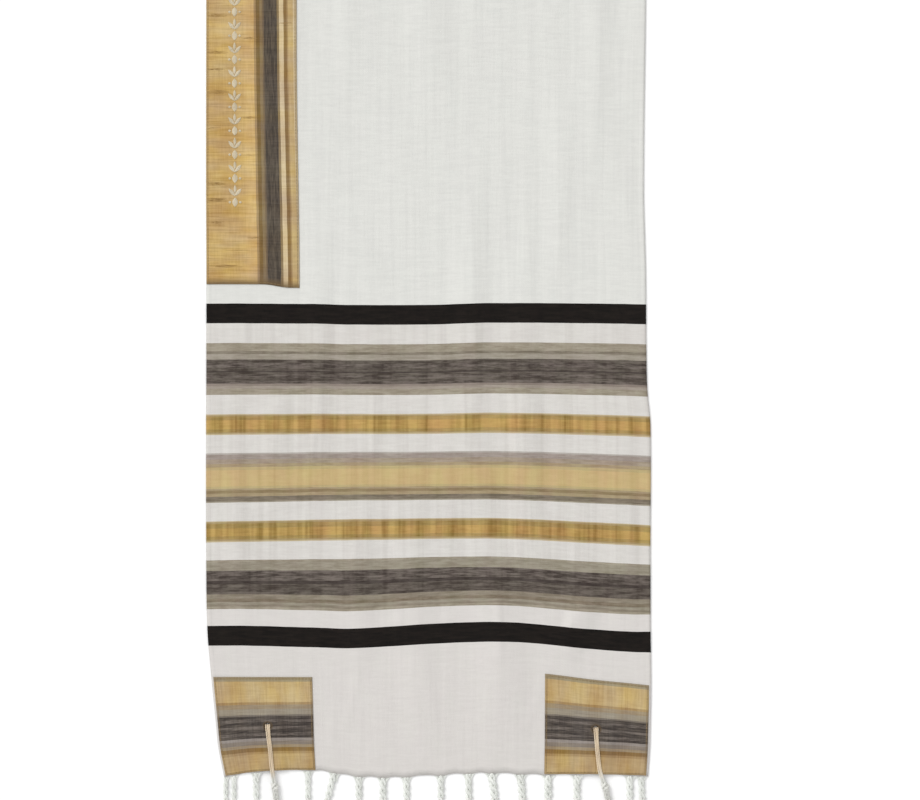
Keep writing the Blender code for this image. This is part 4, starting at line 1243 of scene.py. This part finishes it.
def loop_strands(tassel):
    """Four strings side by side, over the corner, down the eyelet and back under the corner to the head."""
    eyelet, head, run = tassel_line(tassel)
    side = np.array((run[1], -run[0], 0.0))
    length = np.linalg.norm(head - eyelet) + INTO_HEAD
    crossed = tassel.across + np.array([0.0, tassel.lean]) * MM
    hem_places = lay(crossed, np.full(2, tassel.end * HALF_LENGTH))[:, 1]
    hem = np.max(abs(hem_places - eyelet[1])) / abs(run[1]) + HEM_CLEARANCE
    slope_height = (1 - SLOPE_DROP) * UPPER_RUN + SLOPE_DROP * HEAD_HEIGHT
    profile = [(length, HEAD_HEIGHT + HEAD_PARTING), (hem + SLOPE_END, slope_height)]
    profile += [(share * hem, UPPER_RUN) for share in UPPER_SHARES]
    profile += [(reach, UPPER_RUN + rise) for reach, rise in INTO_EYELET]
    profile += [(0.0, 0.5 * UPPER_RUN)]
    profile += [(reach, LOWER_RUN + rise) for reach, rise in OUT_OF_EYELET]
    profile += [(share * hem, LOWER_RUN) for share in LOWER_SHARES]
    profile += [(hem + PAST_HEM[0], LOWER_RUN + PAST_HEM[1]), (length, HEAD_HEIGHT - HEAD_PARTING)]
    strands = []
    for number in range(LOOP_STRINGS):
        slot = number - (LOOP_STRINGS - 1) / 2
        path = []
        for reach, height in profile:
            gather = 1 - LOOP_SQUEEZE * (1 - math.exp(-(reach / LOOP_SQUEEZE_REACH) ** 2))
            bow = tassel.bow * MM * math.sin(math.pi * (reach / length) ** LOOP_BOW_POWER)
            stray = LOOP_STRAY * math.sin(LOOP_STRAY_RATE * reach + LOOP_STRAY_PHASE * number)
            stagger = LOOP_STAGGER * (number % 2) * (1 - gather) / LOOP_SQUEEZE
            aside = slot * LOOP_STEP * gather + stray + bow
            setback = LOOP_SETBACK * math.exp(-(reach / LOOP_SETBACK_REACH) ** 2)
            path.append(eyelet + run * (reach - setback) + side * aside + (0, 0, height + stagger))
        strands += spun(path, side, phase=LOOP_PHASE * number)
    return strands


# %% The wound and knotted head
HELIX_STEPS = 18
KNOT_STEPS = 54
KNOT_SWING = 0.3
KNOT_SLIDE = 0.3
KNOT_RADIUS = 0.62 * STRING
KNOT_PAIR_RADIUS = 0.55 * STRING
KNOT_PAIR_SHIFT = 0.0011
CORE_RADIUS = 1.05 * STRING
CORE_APART = 0.9 * STRING
CORE_END = 0.001
CORE_POINTS = 40
HEAD_EARLY_TURN = 0.5


def head_axis(tassel, place):
    """Points on the middle line of a head, which turns a little sideways."""
    _, head, _ = tassel_line(tassel)
    share = np.asarray(place) / HEAD_LENGTH
    x = head[0] + tassel.head_turn * MM * share * (1 + HEAD_EARLY_TURN - HEAD_EARLY_TURN * share)
    return np.stack([x, head[1] + tassel.end * np.asarray(place), np.full(share.shape, HEAD_HEIGHT)], axis=-1)


def around(tassel, place, turn, half_width, half_height):
    """Points round the middle line of a head, at each place and turn."""
    out = np.stack([half_width * np.cos(turn), np.zeros(turn.shape), half_height * np.sin(turn)], axis=-1)
    return head_axis(tassel, place) + out


def knot_path(tassel, start):
    """A small knotted ring of string that crosses over itself three times."""
    t = np.linspace(0, 2 * np.pi, KNOT_STEPS)
    swing = 1 + KNOT_SWING * np.cos(3 * t)
    place = start + KNOT_LENGTH * (0.5 + KNOT_SLIDE * np.sin(3 * t))
    return around(tassel, place, 2 * t, (KNOT_HALF_WIDTH - STRING) / (1 + KNOT_SWING) * swing,
                  (KNOT_HALF_HEIGHT - 0.75 * STRING) / (1 + KNOT_SWING) * swing)


def head_strands(tassel):
    """Two thick strings as the core of a head, with double knots and windings of string round them."""
    core = head_axis(tassel, np.linspace(CORE_END, HEAD_LENGTH - CORE_END, CORE_POINTS))
    strands = [(core + (aside, 0, 0), CORE_RADIUS) for aside in (-CORE_APART, CORE_APART)]
    place = 0.0
    for turns in WINDING_TURNS + (0,):
        knot = knot_path(tassel, place)
        strands.append((knot, KNOT_RADIUS))
        strands.append((knot + (0, tassel.end * KNOT_PAIR_SHIFT, 0), KNOT_PAIR_RADIUS))
        place += KNOT_LENGTH
        if turns:
            turn = np.linspace(0, 2 * np.pi * turns, turns * HELIX_STEPS)
            winding = around(tassel, place + turn / (2 * np.pi) * TURN_PITCH, turn,
                             WINDING_HALF_WIDTH - 0.5 * STRING, WINDING_HALF_HEIGHT - 0.5 * STRING)
            strands += spun(winding, (0, 1, 0))
            place += turns * TURN_PITCH
    return strands


# %% The loose ends
def loose_path(tassel, number):
    """One loose string: out of the last knot, down to the floor and apart from its neighbours."""
    tip = head_axis(tassel, HEAD_LENGTH)
    slot = number - (STRAND_COUNT - 1) / 2
    length = STRAND_LENGTH * (1.0 - STRAND_SHORTENING * ((number * 3) % 5) / 4)
    share = np.linspace(0, 1, STRAND_POINTS)
    start = slot * ROOT_STEP
    fan = start + (slot * STRAND_SPREAD - start) * share ** FAN_POWER
    sway = SWAY * np.sin(SWAY_RATE * share + SWAY_PHASE * tassel.end) * share
    x = tip[0] + fan + sway + tassel.strand_turn * MM * share ** TURN_POWER
    y = tip[1] - tassel.end * STRAND_INSET + tassel.end * length * share
    rest = LOWER_RUN + STRAND_LIFT
    z = rest + (tip[2] - rest) * (1 - smooth_step(0, STRAND_DROP, share))
    return np.stack([x, y, z], axis=1)


for tassel_name, tassel in TASSELS.items():
    finish_piece(thread_piece("tassel_loop_strings_" + tassel_name, loop_strands(tassel), 6), white_string,
                 "white_string", "tassel_loop_" + tassel_name)
    loose = [ply for number in range(STRAND_COUNT) for ply in spun(loose_path(tassel, number), phase=number)]
    finish_piece(thread_piece("knotted_tassel_" + tassel_name, head_strands(tassel) + loose), white_string,
                 "white_string", "tassel_" + tassel_name)

# %% [markdown]
# ## The fringe
# The fringe is the cloth's own warp. The ends of a few dozen warps are gathered and twisted hard in two
# groups, which are then twisted together the other way, so they hold. Each strand is drawn as two groups of
# three yarns, with loose warps that run from the hem into its root.

# %% Twist the fringe
FRINGE_LENGTH = 0.090
FRINGE_LIFT = 0.0016
FRINGE_OVER = 0.003
FRINGE_POINTS = 24
FRINGE_FULL = 1.33
ROPE_PITCH = 0.0150
YARN_PITCH = 0.0062
YARN_STEP = YARN_PITCH / 6
ROPE_OFFSET = 0.47
ROPE_FLATTEN = 0.5
YARN_OFFSET = 0.27
YARN_FLATTEN = 0.75
YARN_RADIUS = 0.25
YARN_END = 0.96
ROPE_PHASE = 1.7
YARN_PHASE = 0.6
ROOT_SLIM = 0.28
ROOT_SLIM_END = 0.1
TIP_SLIM = 0.22
ROOT_WARPS = 9
ROOT_LENGTH = 0.0085
ROOT_FAN = 3.6
ROOT_GATHER = 1.1
ROOT_BOW = 0.35
ROOT_INSIDE = 0.0015
ROOT_FROM_EDGE = 0.0004
WARP_HEIGHT = 0.55 * CLOTH_WALL
WARP_RADIUS = 0.00042
WARP_STEP = 0.0012
fringe_wool = make_thread("fringe_wool", (240, 242, 237), (221, 223, 217),
                          roughness=0.88, sheen=0.15, gloss=0.12)


def fringe_path(strand, end):
    """The bending middle line of a strand, from the hem."""
    root = lay(strand.across * MM, end * HALF_LENGTH)[0]
    share = np.linspace(0, 1, FRINGE_POINTS)
    x = root[0] - end * (strand.reach * share + strand.bend * np.sin(np.pi * share)) * MM
    y = root[1] + end * (FRINGE_LENGTH + FRINGE_OVER) * share
    return np.stack([x, y, np.full(share.size, FRINGE_LIFT)], axis=1)


def fringe_strands(strand, end, number):
    """The six yarns of one strand and the loose warps at its root."""
    size = FRINGE_FULL * strand.half_width * MM
    path = resample(fringe_path(strand, end), YARN_STEP)
    share = np.linspace(0, 1, len(path))
    swell = (1 - ROOT_SLIM + ROOT_SLIM * smooth_step(0, ROOT_SLIM_END, share)) * (1 - TIP_SLIM * share)
    width = size * swell
    strands = []
    for rope in twist(path, 2, ROPE_OFFSET * width, ROPE_PITCH, flatten=ROPE_FLATTEN,
                      phase=ROPE_PHASE * number):
        for yarn in twist(rope, 3, YARN_OFFSET * width, -YARN_PITCH, flatten=YARN_FLATTEN,
                          phase=YARN_PHASE * number):
            yarn[:, 2] = np.maximum(yarn[:, 2], YARN_OFFSET * size + FLOOR_GAP)
            strands.append((yarn, YARN_RADIUS * width * (1 - 0.5 * smooth_step(YARN_END, 1.0, share))))
    edge = HALF_WIDTH - ROOT_FROM_EDGE
    for warp in range(ROOT_WARPS):
        slot = warp / (ROOT_WARPS - 1) - 0.5
        across = np.clip(strand.across * MM + ROOT_FAN * slot * size, -edge, edge)
        hem = lay(across, end * (HALF_LENGTH - ROOT_INSIDE), WARP_HEIGHT)[0]
        hem[1] += float(hem_scallop(np.array([across]), np.array([end * HALF_LENGTH]))[0])
        tip = path[0] + (slot * ROOT_GATHER * size, end * ROOT_LENGTH, 0)
        middle = 0.5 * (hem + tip) + (-ROOT_BOW * (hem[0] - path[0][0]) * abs(slot), 0, 0.0001)
        strands.append((resample([hem, middle, tip], WARP_STEP), WARP_RADIUS))
    return strands


for fringe_end, fringe_name in ((-1, "near"), (1, "far")):
    fringe = []
    for strand_number, fringe_strand in enumerate(FRINGE):
        fringe += fringe_strands(fringe_strand, fringe_end, strand_number)
    finish_piece(thread_piece("twisted_fringe_" + fringe_name, fringe, 4), fringe_wool, "white_string",
                 "fringe_" + fringe_name)

# %% [markdown]

# %% [markdown]
# ## Floor, camera and light
# The shawl is seen from straight above, from far off, so a long lens keeps the far hem as large as the near
# one. An even pale surround gives the level of light, and one broad sun from above the far left gives the
# folds their shading. A sun lights the near and the far end alike, where a lamp would leave a pool of
# light. The plain view transform keeps the yarns' colours as they were chosen.

# %% The floor
FLOOR_SIZE = 12.0
FLOOR_COLOUR = (0.97, 0.97, 0.97, 1)
floor_mesh = bmesh.new()
bmesh.ops.create_grid(floor_mesh, x_segments=1, y_segments=1, size=FLOOR_SIZE / 2)
floor_data = bpy.data.meshes.new("studio_floor")
floor_mesh.to_mesh(floor_data)
floor_mesh.free()
floor = link("studio_floor", floor_data)
floor_paint, _, floor_shader = new_material("studio_floor_paint", roughness=0.9, sheen=0.0, gloss=0.0)
floor_shader.inputs["Base Color"].default_value = FLOOR_COLOUR
floor_data.materials.append(floor_paint)

# %% The camera
VIEW_CENTRE = (0.033, -0.518)
VIEW_WIDTH = 0.940
SENSOR = 36.0
LENS = 200.0
FARTHEST_SEEN = 100.0
lens = bpy.data.cameras.new("camera")
lens.sensor_width = SENSOR
lens.lens = LENS
lens.clip_end = FARTHEST_SEEN
camera = link("camera", lens)
camera.location = (*VIEW_CENTRE, VIEW_WIDTH * LENS / SENSOR + 2 * CLOTH_WALL)
bpy.context.scene.camera = camera

# %% The light
SURROUND = 0.79
SUN_POWER = 1.56
SUN_SPREAD = 30.0
SUN_PLACE = (-1.7, 1.8, 1.95)
world = bpy.data.worlds.new("studio")
world.use_nodes = True
world.node_tree.nodes["Background"].inputs[0].default_value = (1, 1, 1, 1)
world.node_tree.nodes["Background"].inputs[1].default_value = SURROUND
bpy.context.scene.world = world
sun_data = bpy.data.lights.new("soft_sun", "SUN")
sun_data.energy = SUN_POWER
sun_data.angle = math.radians(SUN_SPREAD)
sun = link("soft_sun", sun_data)
sun.rotation_euler = (-Vector(SUN_PLACE)).to_track_quat("-Z", "Y").to_euler()
bpy.context.scene.view_settings.view_transform = "Standard"
